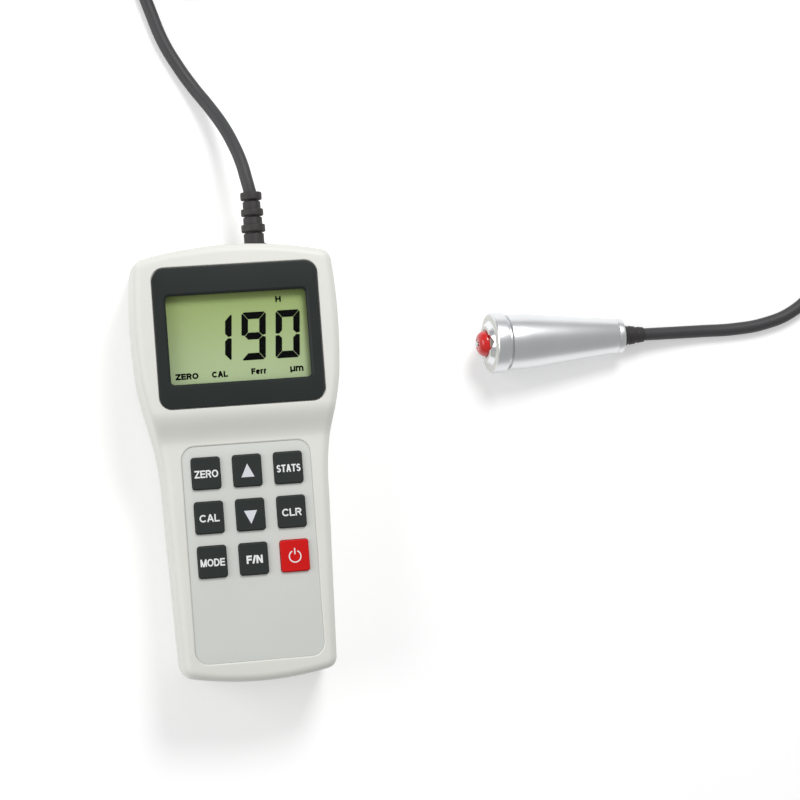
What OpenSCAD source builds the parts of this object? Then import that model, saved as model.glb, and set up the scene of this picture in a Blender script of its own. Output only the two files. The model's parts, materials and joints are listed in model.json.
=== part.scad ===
// Coating thickness gauge with a wired, spring loaded probe.
// The gauge lies on its back: +Z points out of the display, +Y towards the cable end.

/* [Case] */
// Length of the case over its curved ends
case_len = 140.5; // [135:0.5:147]
// Width across the display end
head_w = 66.2; // [65:0.2:72]
// Width of the grip halfway along the case
grip_w = 53.8; // [53:0.2:58]
// Depth from the back to the face round the display
case_depth = 31.7; // [30.8:0.1:36]
// Drop of the face from the display to the keypad
face_step = 4.1; // [3:0.1:5]
// Height of the split between the two shells
split_z = 16; // [15.5:0.1:17]
// Thickness of the case walls
wall = 2.2; // [1.8:0.1:2.6]
// Rounding of the edges round the face
face_edge_r = 2.8; // [2:0.1:3.2]
// Rounding of the edges round the back
back_edge_r = 2.8; // [2:0.1:3.2]
// Rounding of the four corners in plan
corner_r = 4.2; // [4:0.1:8]
// Radius of the curved end at the cable
cable_end_r = 132; // [110:1:200]
// Radius of the curved end below the keypad
hand_end_r = 106; // [90:1:200]
// Length over which the grip widens into the head
neck_len = 42; // [34:1:50]

/* [Display] */
// Width of the dark bezel
bezel_w = 53; // [51:0.2:54]
// Height of the dark bezel
bezel_h = 45; // [42:0.2:46]
// Distance from the cable end of the case to the bezel
bezel_inset = 7.15; // [6.5:0.05:8.5]
// How far the bezel stands above the face
bezel_proud = 0.3; // [0.1:0.05:0.8]
// Width of the display window
window_w = 45; // [40:0.5:46]
// Height of the display window
window_h = 28.3; // [24:0.1:30]
// How far the window sits below the middle of the bezel
window_drop = 0.65; // [0:0.05:2]
// Thickness of the clear lens
lens_t = 1.4; // [1:0.1:1.6]
// Thickness of the display glass
lcd_t = 2.8; // [2:0.1:3.2]

/* [Keypad] */
// Width of the recessed keypad panel
panel_w = 40.8; // [39:0.2:42]
// Distance from the bezel to the keypad panel, over the step in the face
neck_gap = 12.4; // [10:0.05:14]
// Distance from the lower end of the case to the panel
panel_inset = 7.3; // [6.8:0.1:9]
// Thickness of the panel sheet
panel_t = 0.5; // [0.3:0.05:0.8]
// Distance from the top of the panel to the first row of keys
key_inset = 8.4; // [8:0.05:11]
// Width of a key
key_w = 9.1; // [8:0.1:9.8]
// Height of a key
key_h = 10.1; // [9:0.1:10.8]
// Spacing of the key columns
key_pitch_x = 13.2; // [12.8:0.1:13.6]
// Spacing of the key rows
key_pitch_y = 14.1; // [13.8:0.1:15]
// How far a key stands above the face
key_proud = 0.6; // [0.4:0.1:1.2]
// Travel of a key
key_travel = 0.8; // [0.4:0.1:1]

/* [Batteries] */
// Diameter of one cell
cell_d = 10.5; // [10:0.1:10.6]
// Length of one cell with its nub
cell_len = 44.5; // [43.5:0.1:45]
// Distance from the lower end of the case to the battery bay
bay_inset = 14.25; // [13.5:0.05:15.5]
// Thickness of the battery cover
cover_t = 2; // [1.8:0.1:2.2]

/* [Cable] */
// Diameter of the probe cable
cable_d = 4.2; // [3.6:0.1:4.6]
// Sideways place of the strain relief
relief_x = 9; // [0:0.1:14]
// Length of the strain relief outside the case
relief_len = 17.9; // [17:0.1:20]

/* [Probe] */
// Diameter of the probe's flange
flange_d = 20; // [19:0.2:24]
// Diameter of the collar round the nose
collar_d = 12; // [11.6:0.1:13]
// Width of the V groove across the collar
vee_w = 5; // [4:0.1:6]
// Length of the probe from its collar to its end cap
probe_len = 48; // [46:0.5:56]
// Bore that guides the measuring core
probe_bore_d = 9.5; // [9:0.1:10]
// Travel of the measuring core
core_travel = 3; // [2:0.1:3]

/* [Hidden] */
$fn = 64;
fit = 0.15;
screw_fit = 0.05;
seam = 0.25;
slip = 0.02;
face_draft = 0.4;
back_draft = 0.5;
hole_over = 1;

// Places along the case
end_y = case_len / 2;
bezel_y = end_y - bezel_inset - bezel_h / 2;
bezel_low_y = bezel_y - bezel_h / 2;
panel_h = case_len - bezel_inset - bezel_h - neck_gap - panel_inset;
panel_y = -end_y + panel_inset + panel_h / 2;
panel_top_y = panel_y + panel_h / 2;
step_margin = 0.6;
step_from = panel_top_y + step_margin;
step_to = bezel_low_y - step_margin;
neck_drop = 4.9;
neck_mid = (step_from + step_to) / 2 - neck_drop;
crown_rise = 4.4;
crown_y = bezel_y + crown_rise;
crown_r = 185;
grip_taper = 0.03;

// Heights through the case
grip_z = case_depth - face_step;
bezel_z = case_depth + bezel_proud;
bezel_lip_t = 1.2;
bezel_wall_t = 1.8;
bezel_r = 4;
lens_z = bezel_z - bezel_wall_t - lens_t;
lens_gap = 0.3;
lcd_z = lens_z - lens_gap - lcd_t;
board_gap = 1;
board_t = 1.6;
board_z = split_z + board_gap;
board_top = board_z + board_t;

// Half width of the case in plan, from the grip through the neck to the head
function ease(t) = let (c = min(1, max(0, t))) c * c * (3 - 2 * c);
function head_side(y) = head_w / 2 - pow(y - crown_y, 2) / (2 * crown_r);
function grip_side(y) = grip_w / 2 + grip_taper * y;
function side_x(y) =
    let (blend = ease((y - neck_mid) / neck_len + 0.5))
    grip_side(y) + (head_side(y) - grip_side(y)) * blend;
function side_normal(y) =
    let (d = 0.01, slope = (side_x(y + d) - side_x(y - d)) / (2 * d))
    [1, -slope] / norm([1, slope]);

// A corner arc touches the side at height y and the curved end as well
function corner_centre(y) = [side_x(y), y] - corner_r * side_normal(y);
function end_centre(end, r) = [0, end * (end_y - r)];
function end_miss(y, end, r) = norm(corner_centre(y) - end_centre(end, r)) - (r - corner_r);
function corner_y(end, r, near, far, tries = 30) =
    let (mid = (near + far) / 2)
    tries == 0 ? mid
    : end_miss(mid, end, r) > 0 ? corner_y(end, r, near, mid, tries - 1)
    : corner_y(end, r, mid, far, tries - 1);
function angle_of(v) = atan2(v.y, v.x);

// Points of the right half of the outline, from the cable end to the lower end,
// each with its outward direction: [x, y, out x, out y]
function arc_edge(centre, r, from, to, steps, first) = [
    for (i = [first : steps])
        let (a = from + (to - from) * i / steps)
        [centre.x + r * cos(a), centre.y + r * sin(a), cos(a), sin(a)]
];
function side_edge(from, to, steps) = [
    for (i = [1 : steps])
        let (y = from + (to - from) * i / steps, n = side_normal(y))
        [side_x(y), y, n.x, n.y]
];
top_y = corner_y(1, cable_end_r, end_y / 2, end_y);
low_y = corner_y(-1, hand_end_r, -end_y / 2, -end_y);
top_c = corner_centre(top_y);
low_c = corner_centre(low_y);
top_a = angle_of(top_c - end_centre(1, cable_end_r));
low_a = angle_of(low_c - end_centre(-1, hand_end_r));
edge = concat(
    arc_edge(end_centre(1, cable_end_r), cable_end_r, 90, top_a, 5, 0),
    arc_edge(top_c, corner_r, top_a, angle_of(side_normal(top_y)), 5, 1),
    side_edge(top_y, step_to, 6),
    side_edge(step_to, step_from, 7),
    side_edge(step_from, low_y, 11),
    arc_edge(low_c, corner_r, angle_of(side_normal(low_y)), low_a, 5, 1),
    arc_edge(end_centre(-1, hand_end_r), hand_end_r, low_a, -90, 5, 1)
);

// The outline moved in by an inset, at a height that may follow the face
function ring(inset, height) =
    let (
        half = [
            for (e = edge)
                let (y = e[1] - inset * e[3])
                [e[0] - inset * e[2], y, height(y)]
        ],
        last = len(half) - 1
    )
    concat(half, [for (i = [last - 1 : -1 : 1]) [-half[i].x, half[i].y, half[i].z]]);
function level(z) = function (y) z;
function face_z(y) = case_depth - face_step * (1 - ease((y - step_from) / (step_to - step_from)));

// Skin through a stack of such rings, closed across the first and the last
module loft(rings) {
    n = len(rings[0]);
    last = (len(rings) - 1) * n;
    sides = [
        for (k = [0 : n : last - n], i = [0 : n - 1])
            let (j = (i + 1) % n)
            each [[k + i, k + n + i, k + n + j], [k + i, k + n + j, k + j]]
    ];
    wide = [for (i = [0 : n / 2 - 2]) [i, i + 1, n - i - 1]];
    narrow = [for (i = [1 : n / 2 - 1]) [i, n - i - 1, n - i]];
    first_cap = concat(wide, narrow);
    last_cap = [for (f = first_cap) [last + f[2], last + f[1], last + f[0]]];
    polyhedron([for (r = rings) each r], concat(first_cap, sides, last_cap), convexity = 6);
}

// Shells
inner_face_r = max(0.4, face_edge_r - wall);
inner_back_r = max(0.4, back_edge_r - wall);
function face_ring(inset, r, drop, a) =
    ring(inset + r * (1 - cos(a)), function (y) face_z(y) - drop - r * (1 - sin(a)));
front_rings = concat(
    [for (a = [90 : -22.5 : 0]) face_ring(face_draft, face_edge_r, 0, a)],
    [ring(0, level(split_z + seam)), ring(seam, level(split_z)), ring(wall, level(split_z))],
    [for (a = [0 : 45 : 90]) face_ring(face_draft + wall, inner_face_r, wall, a)]
);
back_rings = [
    for (a = [0 : 22.5 : 90])
        ring(back_draft + back_edge_r * (1 - cos(a)), level(back_edge_r * (1 - sin(a))))
];

// Battery bay and the slot of its sliding cover
cell_gap = 0.2;
cell_pitch = cell_d + cell_gap;
cell_count = 4;
bay_half = (cell_count * cell_pitch + cell_gap) / 2;
bay_wall = 1.8;
spring_len = 4.4;
plate_t = 0.4;
bay_y0 = -end_y + bay_inset;
bay_y1 = bay_y0 + cell_len + spring_len + 2 * plate_t + fit;
cover_gap = 0.2;
cell_z = cover_t + cover_gap + cell_gap + cell_d / 2;
cell_headroom = 0.3;
bay_top = cell_z + cell_d / 2 + cell_headroom;
bay_roof_t = 1.3;
deck_t = 1.4;
deck_top = cover_t + cover_gap + deck_t;
deck_ramp = 8;
slot_y1 = bay_y1 + bay_wall;
rail_w = 0.8;
rail_z = 1.2;
function floor_z(y) = wall + (deck_top - wall) * (1 - ease((y - slot_y1 - wall) / deck_ramp));
rear_rings = concat(
    [
        for (a = [90 : -45 : 0])
            ring(back_draft + wall + inner_back_r * (1 - cos(a)),
                function (y) floor_z(y) + inner_back_r * (1 - sin(a)))
    ],
    [ring(wall, level(split_z)), ring(seam, level(split_z)), ring(0, level(split_z - seam))],
    back_rings
);

// Fasteners
screw_r = 1.25;
screw_room = 0.6;
screw_pass = 0.2;
screw_head_gap = 0.3;
screw_head_r = 2.5;
screw_head_t = 1.9;
screw_floor_t = 0.9;
screw_seat_z = deck_top + screw_floor_t;
screw_grip = 8;
screw_top_z = split_z + screw_grip;
case_boss_r = 2.6;
rear_boss_r = 3.5;
head_screw_in = 7.6;
head_screw_up = 8.75;
grip_screw_in = 9.4;
grip_screw_up = 8.25;
head_screw = [head_w / 2 - head_screw_in, end_y - head_screw_up];
grip_screw = [grip_w / 2 - grip_screw_in, -end_y + grip_screw_up];
board_boss_r = 2.4;
board_screw_head_r = 2.1;
board_screw_head_t = 1.3;
board_screw_grip = 3.6;
neck_boss_in = 7.4;
neck_boss_down = 0.1;
low_boss_in = 10.4;
neck_boss = [grip_w / 2 - neck_boss_in, step_from - neck_boss_down];
case_screw_spots = [for (p = [head_screw, grip_screw], s = [-1, 1]) [s * p.x, p.y]];

module round_rect(w, h, r) {
    square([w - 2 * r, h], center = true);
    square([w, h - 2 * r], center = true);
    for (x = [-1, 1], y = [-1, 1])
        translate([x * (w / 2 - r), y * (h / 2 - r)])
            circle(r);
}

module slab(w, h, r, z0, z1) {
    translate([0, 0, z0])
        linear_extrude(z1 - z0)
            round_rect(w, h, r);
}

module post(spot, r, z0, z1) {
    translate([spot.x, spot.y, z0])
        cylinder(r = r, h = z1 - z0);
}

// Strain relief and the hole it sits in
relief_neck_r = 3.2;
relief_flange_r = 4.05;
relief_inner_t = 1.4;
relief_stand = 0.4;
relief_seat = 0.5;
relief_y = sqrt(pow(cable_end_r, 2) - pow(relief_x, 2)) + end_y - cable_end_r;
relief_end_y = relief_y + relief_len;
mouth_play = 0.35;
mouth_depth = 1.4;
mouth_r = cable_d / 2 + mouth_play;
cable_seat = 0.9;

module relief_hole() {
    translate([relief_x, relief_y + hole_over, split_z])
        rotate([90, 0, 0])
            cylinder(r = relief_neck_r + fit, h = 2 * wall + hole_over);
}

// Display stack
bezel_seat_z = bezel_z - bezel_lip_t;
window_y = bezel_y - window_drop;
window_r = 1.3;
lens_margin = 1.1;
lens_w = window_w + 2 * lens_margin;
lens_h = window_h + 2 * lens_margin;
lens_r = 1.5;
pocket_wall = 1.2;
skirt_w = lens_w + 2 * (fit + pocket_wall);
skirt_h = lens_h + 2 * (fit + pocket_wall);
skirt_r = lens_r + pocket_wall;
skirt_z = lens_z - fit;
lcd_margin = 2.3;
lcd_w = window_w + 2 * lcd_margin;
lcd_h = window_h + 2 * lcd_margin;
lcd_frame_wall = 1.5;
lcd_frame_w = lcd_w + 2 * (fit + lcd_frame_wall);
lcd_frame_h = lcd_h + 2 * (fit + lcd_frame_wall);
lcd_ledge_t = 1.2;
lcd_ledge_w = 1.4;
zebra_w = 2.4;
zebra_len = lcd_w - 6;
zebra_y = lcd_h / 2 - lcd_ledge_w - zebra_w / 2 - 0.4;

// Keypad stack
panel_r = 4;
panel_gap = 0.25;
panel_sink = 0.1;
panel_z = grip_z - panel_sink - panel_t;
key_r = 0.9;
key_gap = 0.25;
key_lip = 1;
key_lip_t = 1.1;
key_lip_gap = 0.2;
key_lip_z = grip_z - wall - key_lip_gap - key_lip_t;
key_stem = 5.6;
key_stem_len = 0.8;
key_stem_z = key_lip_z - key_stem_len;
key_top_z = grip_z + key_proud;
mat_t = 1;
mat_r = 1.5;
mat_margin = 1;
dome_gap = 0.2;
dome_top_z = key_stem_z - key_travel - dome_gap;
dome_r = 3.6;
key_row_y = panel_top_y - key_inset;
function key_spot(row, column) = [(column - 1) * key_pitch_x, key_row_y - row * key_pitch_y];
key_spots = [for (row = [0 : 2], column = [0 : 2]) key_spot(row, column)];
mat_w = 2 * (key_pitch_x + mat_margin) + key_w;
mat_h = 2 * (key_pitch_y + mat_margin) + key_h;
mat_y = key_row_y - key_pitch_y;
mat_low_y = mat_y - mat_h / 2;

// The lower board screws stand halfway between the key mat and the case screws
low_boss = [grip_w / 2 - low_boss_in, (mat_low_y + grip_screw.y + rear_boss_r) / 2];
board_screw_spots = [for (p = [neck_boss, low_boss], s = [-1, 1]) [s * p.x, p.y]];

module front_case() {
    color([0.87, 0.87, 0.85])
    difference() {
        union() {
            loft(front_rings);
            for (p = case_screw_spots)
                post(p, case_boss_r, split_z, face_z(p.y) - wall / 2);
            for (p = board_screw_spots)
                post(p, board_boss_r, board_top, face_z(p.y) - wall / 2);
        }
        translate([0, bezel_y])
            slab(bezel_w + 2 * fit, bezel_h + 2 * fit, bezel_r + fit, bezel_seat_z, bezel_z + hole_over);
        translate([0, window_y])
            slab(skirt_w + 2 * fit, skirt_h + 2 * fit, skirt_r + fit, split_z, bezel_z);
        translate([0, panel_y])
            slab(panel_w + 2 * panel_gap, panel_h + 2 * panel_gap, panel_r + panel_gap,
                panel_z, grip_z + hole_over);
        for (p = key_spots)
            translate(p)
                slab(key_w + 2 * key_gap, key_h + 2 * key_gap, key_r + key_gap, split_z, grip_z);
        for (p = case_screw_spots)
            post(p, screw_r + screw_fit, split_z - hole_over, screw_top_z + screw_room);
        for (p = board_screw_spots)
            post(p, screw_r + screw_fit, board_top - hole_over, board_top + board_screw_grip + screw_room);
        relief_hole();
    }
}

module cover_prism(gap) {
    half = bay_half + gap;
    for (side = [[half, -hole_over], [half + rail_w, rail_z - gap]])
        translate([-side[0], -case_len, side[1]])
            cube([2 * side[0], case_len + slot_y1 + gap, cover_t + gap - side[1]]);
}

module rear_case() {
    color([0.86, 0.86, 0.84])
    difference() {
        union() {
            loft(rear_rings);
            translate([-bay_half - bay_wall, bay_y0 - bay_wall, deck_top - 1])
                cube([
                    2 * (bay_half + bay_wall),
                    bay_y1 - bay_y0 + 2 * bay_wall,
                    bay_top + bay_roof_t - deck_top + 1
                ]);
            for (p = case_screw_spots)
                post(p, rear_boss_r, wall - 0.4, split_z);
        }
        cover_prism(cover_gap);
        translate([-bay_half, bay_y0, -hole_over])
            cube([2 * bay_half, bay_y1 - bay_y0, bay_top + hole_over]);
        for (p = case_screw_spots) {
            post(p, screw_head_r + screw_head_gap, -hole_over, screw_seat_z);
            post(p, screw_r + screw_pass, 0, split_z + hole_over);
        }
        relief_hole();
    }
}

cover_rib_count = 7;
cover_rib_pitch = 2;
cover_rib_depth = 0.5;

module battery_cover() {
    color([0.84, 0.84, 0.82])
    difference() {
        intersection() {
            loft(back_rings);
            cover_prism(0);
        }
        for (i = [0 : cover_rib_count - 1])
            translate([-bay_half / 2, slot_y1 - 8 - i * cover_rib_pitch, -hole_over])
                cube([bay_half, cover_rib_pitch / 2, hole_over + cover_rib_depth]);
    }
}

module display_bezel() {
    color([0.2, 0.22, 0.22])
    difference() {
        union() {
            translate([0, bezel_y])
                slab(bezel_w, bezel_h, bezel_r, bezel_seat_z, bezel_z);
            translate([0, window_y])
                slab(skirt_w, skirt_h, skirt_r, skirt_z, bezel_seat_z + 0.4);
        }
        translate([0, window_y]) {
            slab(window_w, window_h, window_r, skirt_z - hole_over, bezel_z + hole_over);
            slab(lens_w + 2 * fit, lens_h + 2 * fit, lens_r + fit, skirt_z - hole_over, lens_z + lens_t);
        }
    }
}

module display_lens() {
    color([0.8, 0.9, 0.85, 0.4])
    translate([0, window_y])
        slab(lens_w, lens_h, lens_r, lens_z, lens_z + lens_t);
}

module lcd_glass() {
    color([0.62, 0.7, 0.5])
    translate([0, window_y])
        slab(lcd_w, lcd_h, 0.5, lcd_z, lcd_z + lcd_t);
}

module lcd_frame() {
    color([0.9, 0.9, 0.88])
    translate([0, window_y])
    difference() {
        slab(lcd_frame_w, lcd_frame_h, 1, board_top, lcd_z + lcd_t - 0.3);
        slab(lcd_w + 2 * fit, lcd_h + 2 * fit, 0.6, lcd_z, bezel_z);
        slab(lcd_w - 2 * lcd_ledge_w, lcd_h - 2 * lcd_ledge_w, 0.6, board_z, bezel_z);
        slab(lcd_w + 2 * fit, lcd_h + 2 * fit, 0.6, board_z, lcd_z - lcd_ledge_t);
    }
}

module zebra_strips() {
    color([0.75, 0.6, 0.62])
    for (s = [-1, 1])
        translate([-zebra_len / 2, window_y + s * zebra_y - zebra_w / 2, board_top])
            cube([zebra_len, zebra_w, lcd_z - board_top]);
}

board_head_in = 8.1;
board_grip_in = 5.4;
board_end_in = 11.75;
board_neck_up = 4;
board_grip_up = 1;
board_low_down = 3.4;
board_head_half = head_w / 2 - board_head_in;
board_grip_half = grip_w / 2 - board_grip_in;
board_head_y = end_y - board_end_in;
board_neck_y = step_to + board_neck_up;
board_grip_y = step_from + board_grip_up;
board_low_y = low_boss.y - board_low_down;

module main_board() {
    color([0.1, 0.38, 0.2])
    translate([0, 0, board_z])
    difference() {
        linear_extrude(board_t)
            polygon([
                [-board_head_half, board_head_y],
                [board_head_half, board_head_y],
                [board_head_half, board_neck_y],
                [board_grip_half, board_grip_y],
                [board_grip_half, board_low_y],
                [-board_grip_half, board_low_y],
                [-board_grip_half, board_grip_y],
                [-board_head_half, board_neck_y]
            ]);
        for (p = board_screw_spots)
            post(p, screw_r + screw_pass, -hole_over, board_t + hole_over);
    }
}

// Chip, crystal can and storage capacitor under the board
chip_w = 12;
chip_t = 1.5;
can_len = 10;
can_w = 3.6;
can_t = 3.2;
storage_r = 3;
storage_h = 7;

module board_parts() {
    color([0.16, 0.16, 0.17]) {
        translate([-chip_w / 2, bezel_y - chip_w / 2, board_z - chip_t])
            cube([chip_w, chip_w, chip_t]);
        translate([chip_w, bezel_y, board_z - can_t])
            cube([can_len, can_w, can_t]);
        post([-chip_w - 2 * storage_r, bezel_y + 2 * storage_r], storage_r, board_z - storage_h, board_z);
    }
}

socket_w = 9;
socket_len = 6;
socket_t = 4.6;

module probe_socket() {
    color([0.9, 0.88, 0.8])
    translate([relief_x - socket_w / 2, board_head_y - socket_len, board_z - socket_t])
        cube([socket_w, socket_len, socket_t]);
}

module keypad_mat() {
    color([0.3, 0.31, 0.32])
    translate([0, 0, board_top]) {
        translate([0, mat_y])
            slab(mat_w, mat_h, mat_r, 0, mat_t);
        for (p = key_spots)
            post(p, dome_r, mat_t / 2, dome_top_z - board_top);
    }
}

module keypad_label() {
    color([0.79, 0.8, 0.79])
    difference() {
        translate([0, panel_y])
            slab(panel_w, panel_h, panel_r, panel_z, panel_z + panel_t);
        for (p = key_spots)
            translate(p)
                slab(key_w + 2 * key_gap, key_h + 2 * key_gap, key_r + key_gap, split_z, bezel_z);
    }
}

module key(i, shade) {
    color(shade)
    translate(key_spots[i]) {
        slab(key_w, key_h, key_r, key_lip_z, key_top_z);
        slab(key_w + 2 * key_lip, key_h + 2 * key_lip, key_r + key_lip, key_lip_z, key_lip_z + key_lip_t);
        slab(key_stem, key_stem, key_r, key_stem_z, key_lip_z + key_lip_t);
    }
}
key_shade = [0.19, 0.2, 0.2];
power_shade = [0.78, 0.11, 0.11];

// Cells lie side by side and point to and fro
nub_r = 1.9;
nub_len = 1;
cell_edge = 0.5;
spring_wire_r = 0.35;
spring_base_r = 3.6;
spring_top_r = 2;
spring_turns = 3;
function cell_x(i) = (i - (cell_count - 1) / 2) * cell_pitch;

// Moves a piece drawn along +Z from the spring end to its cell's place
module in_bay(i) {
    up = i % 2 == 0;
    translate([cell_x(i), up ? bay_y0 + plate_t : bay_y1 - plate_t, cell_z])
        rotate([up ? -90 : 90, 0, 0])
            children();
}

module battery(i) {
    r = cell_d / 2;
    body = cell_len - nub_len;
    color([0.25, 0.3, 0.42])
    in_bay(i)
        translate([0, 0, spring_len])
            rotate_extrude()
                polygon([
                    [0, 0],
                    [r - cell_edge, 0],
                    [r, cell_edge],
                    [r, body - cell_edge],
                    [r - cell_edge, body],
                    [nub_r, body],
                    [nub_r, cell_len],
                    [0, cell_len]
                ]);
}

// Round wire or cable swept along a path, closed at both ends
module sweep(path, r, sides) {
    last = len(path) - 1;
    points = [
        for (k = [0 : last], s = [0 : sides - 1])
            let (
                along = path[min(last, k + 1)] - path[max(0, k - 1)],
                across = cross(along, [0, 0, 1]) / norm(cross(along, [0, 0, 1])),
                over = cross(across, along) / norm(along),
                a = (s + 0.5) * 360 / sides
            )
            path[k] + r * (cos(a) * across + sin(a) * over)
    ];
    skin = [
        for (k = [0 : sides : (last - 1) * sides], s = [0 : sides - 1])
            let (t = (s + 1) % sides)
            each [[k + s, k + t, k + sides + t], [k + s, k + sides + t, k + sides + s]]
    ];
    start = [[for (s = [sides - 1 : -1 : 0]) s]];
    finish = [[for (s = [0 : sides - 1]) last * sides + s]];
    polyhedron(points, concat(start, skin, finish), convexity = 10);
}

function helix(r0, r1, z0, z1, turns, steps) = [
    for (i = [0 : turns * steps])
        let (t = i / (turns * steps), a = 360 * turns * t, r = r0 + (r1 - r0) * t)
        [r * cos(a), r * sin(a), z0 + (z1 - z0) * t]
];

module battery_springs() {
    color([0.75, 0.76, 0.77])
    for (i = [0 : cell_count - 1])
        in_bay(i)
            sweep(
                helix(
                    spring_base_r, spring_top_r,
                    spring_wire_r, spring_len - spring_wire_r, spring_turns, 10
                ),
                spring_wire_r, 6
            );
}

plate_w = 8.5;

module battery_plates() {
    color([0.77, 0.78, 0.79])
    for (i = [0 : cell_count - 1], y = [bay_y0, bay_y1 - plate_t])
        translate([cell_x(i) - plate_w / 2, y, cell_z - plate_w / 2])
            cube([plate_w, plate_t, plate_w]);
}

// Pan head screw with a cross recess, head down, seated at the origin
module screw(head_r, head_t, length) {
    slot = [0.7, 1.3 * head_r, 0.8];
    difference() {
        union() {
            translate([0, 0, -head_t])
                cylinder(r = head_r, h = head_t);
            cylinder(r = screw_r, h = length);
        }
        for (a = [0, 90])
            rotate(a)
                translate([-slot.x / 2, -slot.y / 2, -head_t - hole_over])
                    cube([slot.x, slot.y, slot.z + hole_over]);
    }
}

module case_screws() {
    color([0.68, 0.69, 0.7])
    for (p = case_screw_spots)
        translate([p.x, p.y, screw_seat_z])
            screw(screw_head_r, screw_head_t, screw_top_z - screw_seat_z);
}

module board_screws() {
    color([0.68, 0.69, 0.7])
    for (p = board_screw_spots)
        translate([p.x, p.y, board_z])
            screw(board_screw_head_r, board_screw_head_t, board_t + board_screw_grip);
}

// Turned profile of the strain relief: [radius, distance from the case]
relief_steps = [
    [relief_flange_r, relief_stand, 1],
    [3.3, 1, 4.9],
    [3.9, 4.9, 7.3],
    [3.1, 7.3, 10.2],
    [3.65, 10.2, 12.4],
    [2.9, 12.4, 15.4],
    [3.5, 15.4, relief_len]
];

module strain_relief() {
    bottom = -wall - relief_seat;
    outline = [for (s = relief_steps) each [[s[0], s[1]], [s[0], s[2]]]];
    color([0.24, 0.24, 0.25])
    translate([relief_x, relief_y, split_z])
        rotate([-90, 0, 0])
            rotate_extrude()
                polygon(concat(
                    [[0, bottom - relief_inner_t], [relief_flange_r, bottom - relief_inner_t]],
                    [[relief_flange_r, bottom], [relief_neck_r, bottom], [relief_neck_r, relief_stand]],
                    outline,
                    [[mouth_r, relief_len], [mouth_r, relief_len - mouth_depth]],
                    [[0, relief_len - mouth_depth]]
                ));
}

module cable_tail() {
    inner_end = relief_y - wall - relief_seat - relief_inner_t;
    color([0.24, 0.24, 0.25])
    translate([relief_x, board_head_y, split_z])
        rotate([-90, 0, 0])
            cylinder(d = cable_d, h = inner_end - board_head_y);
}

// Probe, drawn along +X from its collar and laid on its flange and end cap
probe_at = [84, 34];
flange_r = flange_d / 2;
flange_u = 6;
cap_r = 5.8;
cap_t = 2;
probe_tilt = atan((flange_r - cap_r) / (probe_len - flange_u));
probe_z = flange_u * sin(probe_tilt) + flange_r * cos(probe_tilt);

module on_probe() {
    translate([probe_at.x, probe_at.y, probe_z])
        rotate([0, probe_tilt, 0])
            children();
}

module turned(profile) {
    rotate([0, 90, 0])
        rotate_extrude()
            polygon(profile);
}

bore_r = probe_bore_d / 2;
collar_r = collar_d / 2;
bevel_w = 1.45;
bevel_r = collar_r + bevel_w;
bevel_u = 1.6;
flange_round = 0.5;
groove_u = 1.4;
groove_depth = 2;
barrel_step = 0.8;
barrel_r = flange_r - barrel_step;
barrel_u = 14;
sleeve_len = probe_len - cap_t;
vee_half = vee_w / 2;
vee_depth = 1.2;

module probe_sleeve() {
    color([0.84, 0.85, 0.86])
    on_probe()
    difference() {
        turned([
            [bore_r, 0],
            [collar_r, 0],
            [bevel_r, bevel_u],
            [flange_r - flange_round, bevel_u],
            [flange_r, bevel_u + flange_round],
            [flange_r, flange_u],
            [flange_r - groove_depth, flange_u],
            [flange_r - groove_depth, flange_u + groove_u],
            [barrel_r, flange_u + groove_u],
            [barrel_r, barrel_u],
            [cap_r, sleeve_len],
            [bore_r, sleeve_len]
        ]);
        rotate(-90)
            translate([0, 0, -flange_r])
                linear_extrude(2 * flange_r)
                    polygon([
                        [-vee_half, -hole_over],
                        [vee_half, -hole_over],
                        [vee_half, 0],
                        [0, vee_depth],
                        [-vee_half, 0]
                    ]);
    }
}

// Measuring core: a steel tube with the red nose, the contact tip and the sensing coil
core_gap = 0.1;
tip_rest = 0.4;
tip_reach = core_travel + tip_rest;
core_r = bore_r - core_gap;
core_wall = 0.3;
core_front = 0.4;
core_len = 22;
nose_r = core_r - core_wall;
nose_top_r = 1.9;
nose_top = tip_reach - 0.8;
nose_plug = 4;
tip_r = 1;
tip_len = 18;
coil_r = 3.4;
core_floor = 1.2;

module probe_core() {
    color([0.82, 0.8, 0.74])
    on_probe()
        turned([
            [nose_r + slip, core_front],
            [core_r, core_front],
            [core_r, core_front + core_len],
            [0, core_front + core_len],
            [0, core_front + core_len - core_floor],
            [nose_r + slip, core_front + core_len - core_floor]
        ]);
}

module probe_nose() {
    arc = [
        for (a = [0 : 15 : 90])
            [nose_top_r + (nose_r - nose_top_r) * cos(a), core_front - (nose_top + core_front) * sin(a)]
    ];
    color([0.8, 0.09, 0.07])
    on_probe()
        turned(concat(
            [[tip_r + slip, core_front + nose_plug], [nose_r, core_front + nose_plug]],
            arc,
            [[tip_r + slip, -nose_top]]
        ));
}

module contact_tip() {
    dome = [for (a = [0 : 15 : 90]) [tip_r * cos(a), -tip_reach + tip_r * (1 - sin(a)) * 0.8]];
    color([0.8, 0.81, 0.82])
    on_probe()
        turned(concat([[0, tip_len], [tip_r, tip_len]], dome));
}

module sensor_coil() {
    color([0.72, 0.42, 0.2])
    on_probe()
        turned([
            [tip_r + slip, core_front + nose_plug],
            [coil_r, core_front + nose_plug],
            [coil_r, tip_len - 2],
            [tip_r + slip, tip_len - 2]
        ]);
}

spring_r = 3.4;
probe_wire_r = 0.4;
probe_turns = 6;
cap_plug = 6;
spring_u0 = core_front + core_len;
spring_u1 = sleeve_len - cap_plug;

module probe_spring() {
    color([0.74, 0.75, 0.76])
    on_probe()
        rotate([0, 90, 0])
            sweep(
                helix(
                    spring_r, spring_r,
                    spring_u0 + probe_wire_r, spring_u1 - probe_wire_r, probe_turns, 10
                ),
                probe_wire_r, 6
            );
}

boot_len = 8;
boot_base_r = 3.6;
boot_end_r = 2.5;

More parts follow.
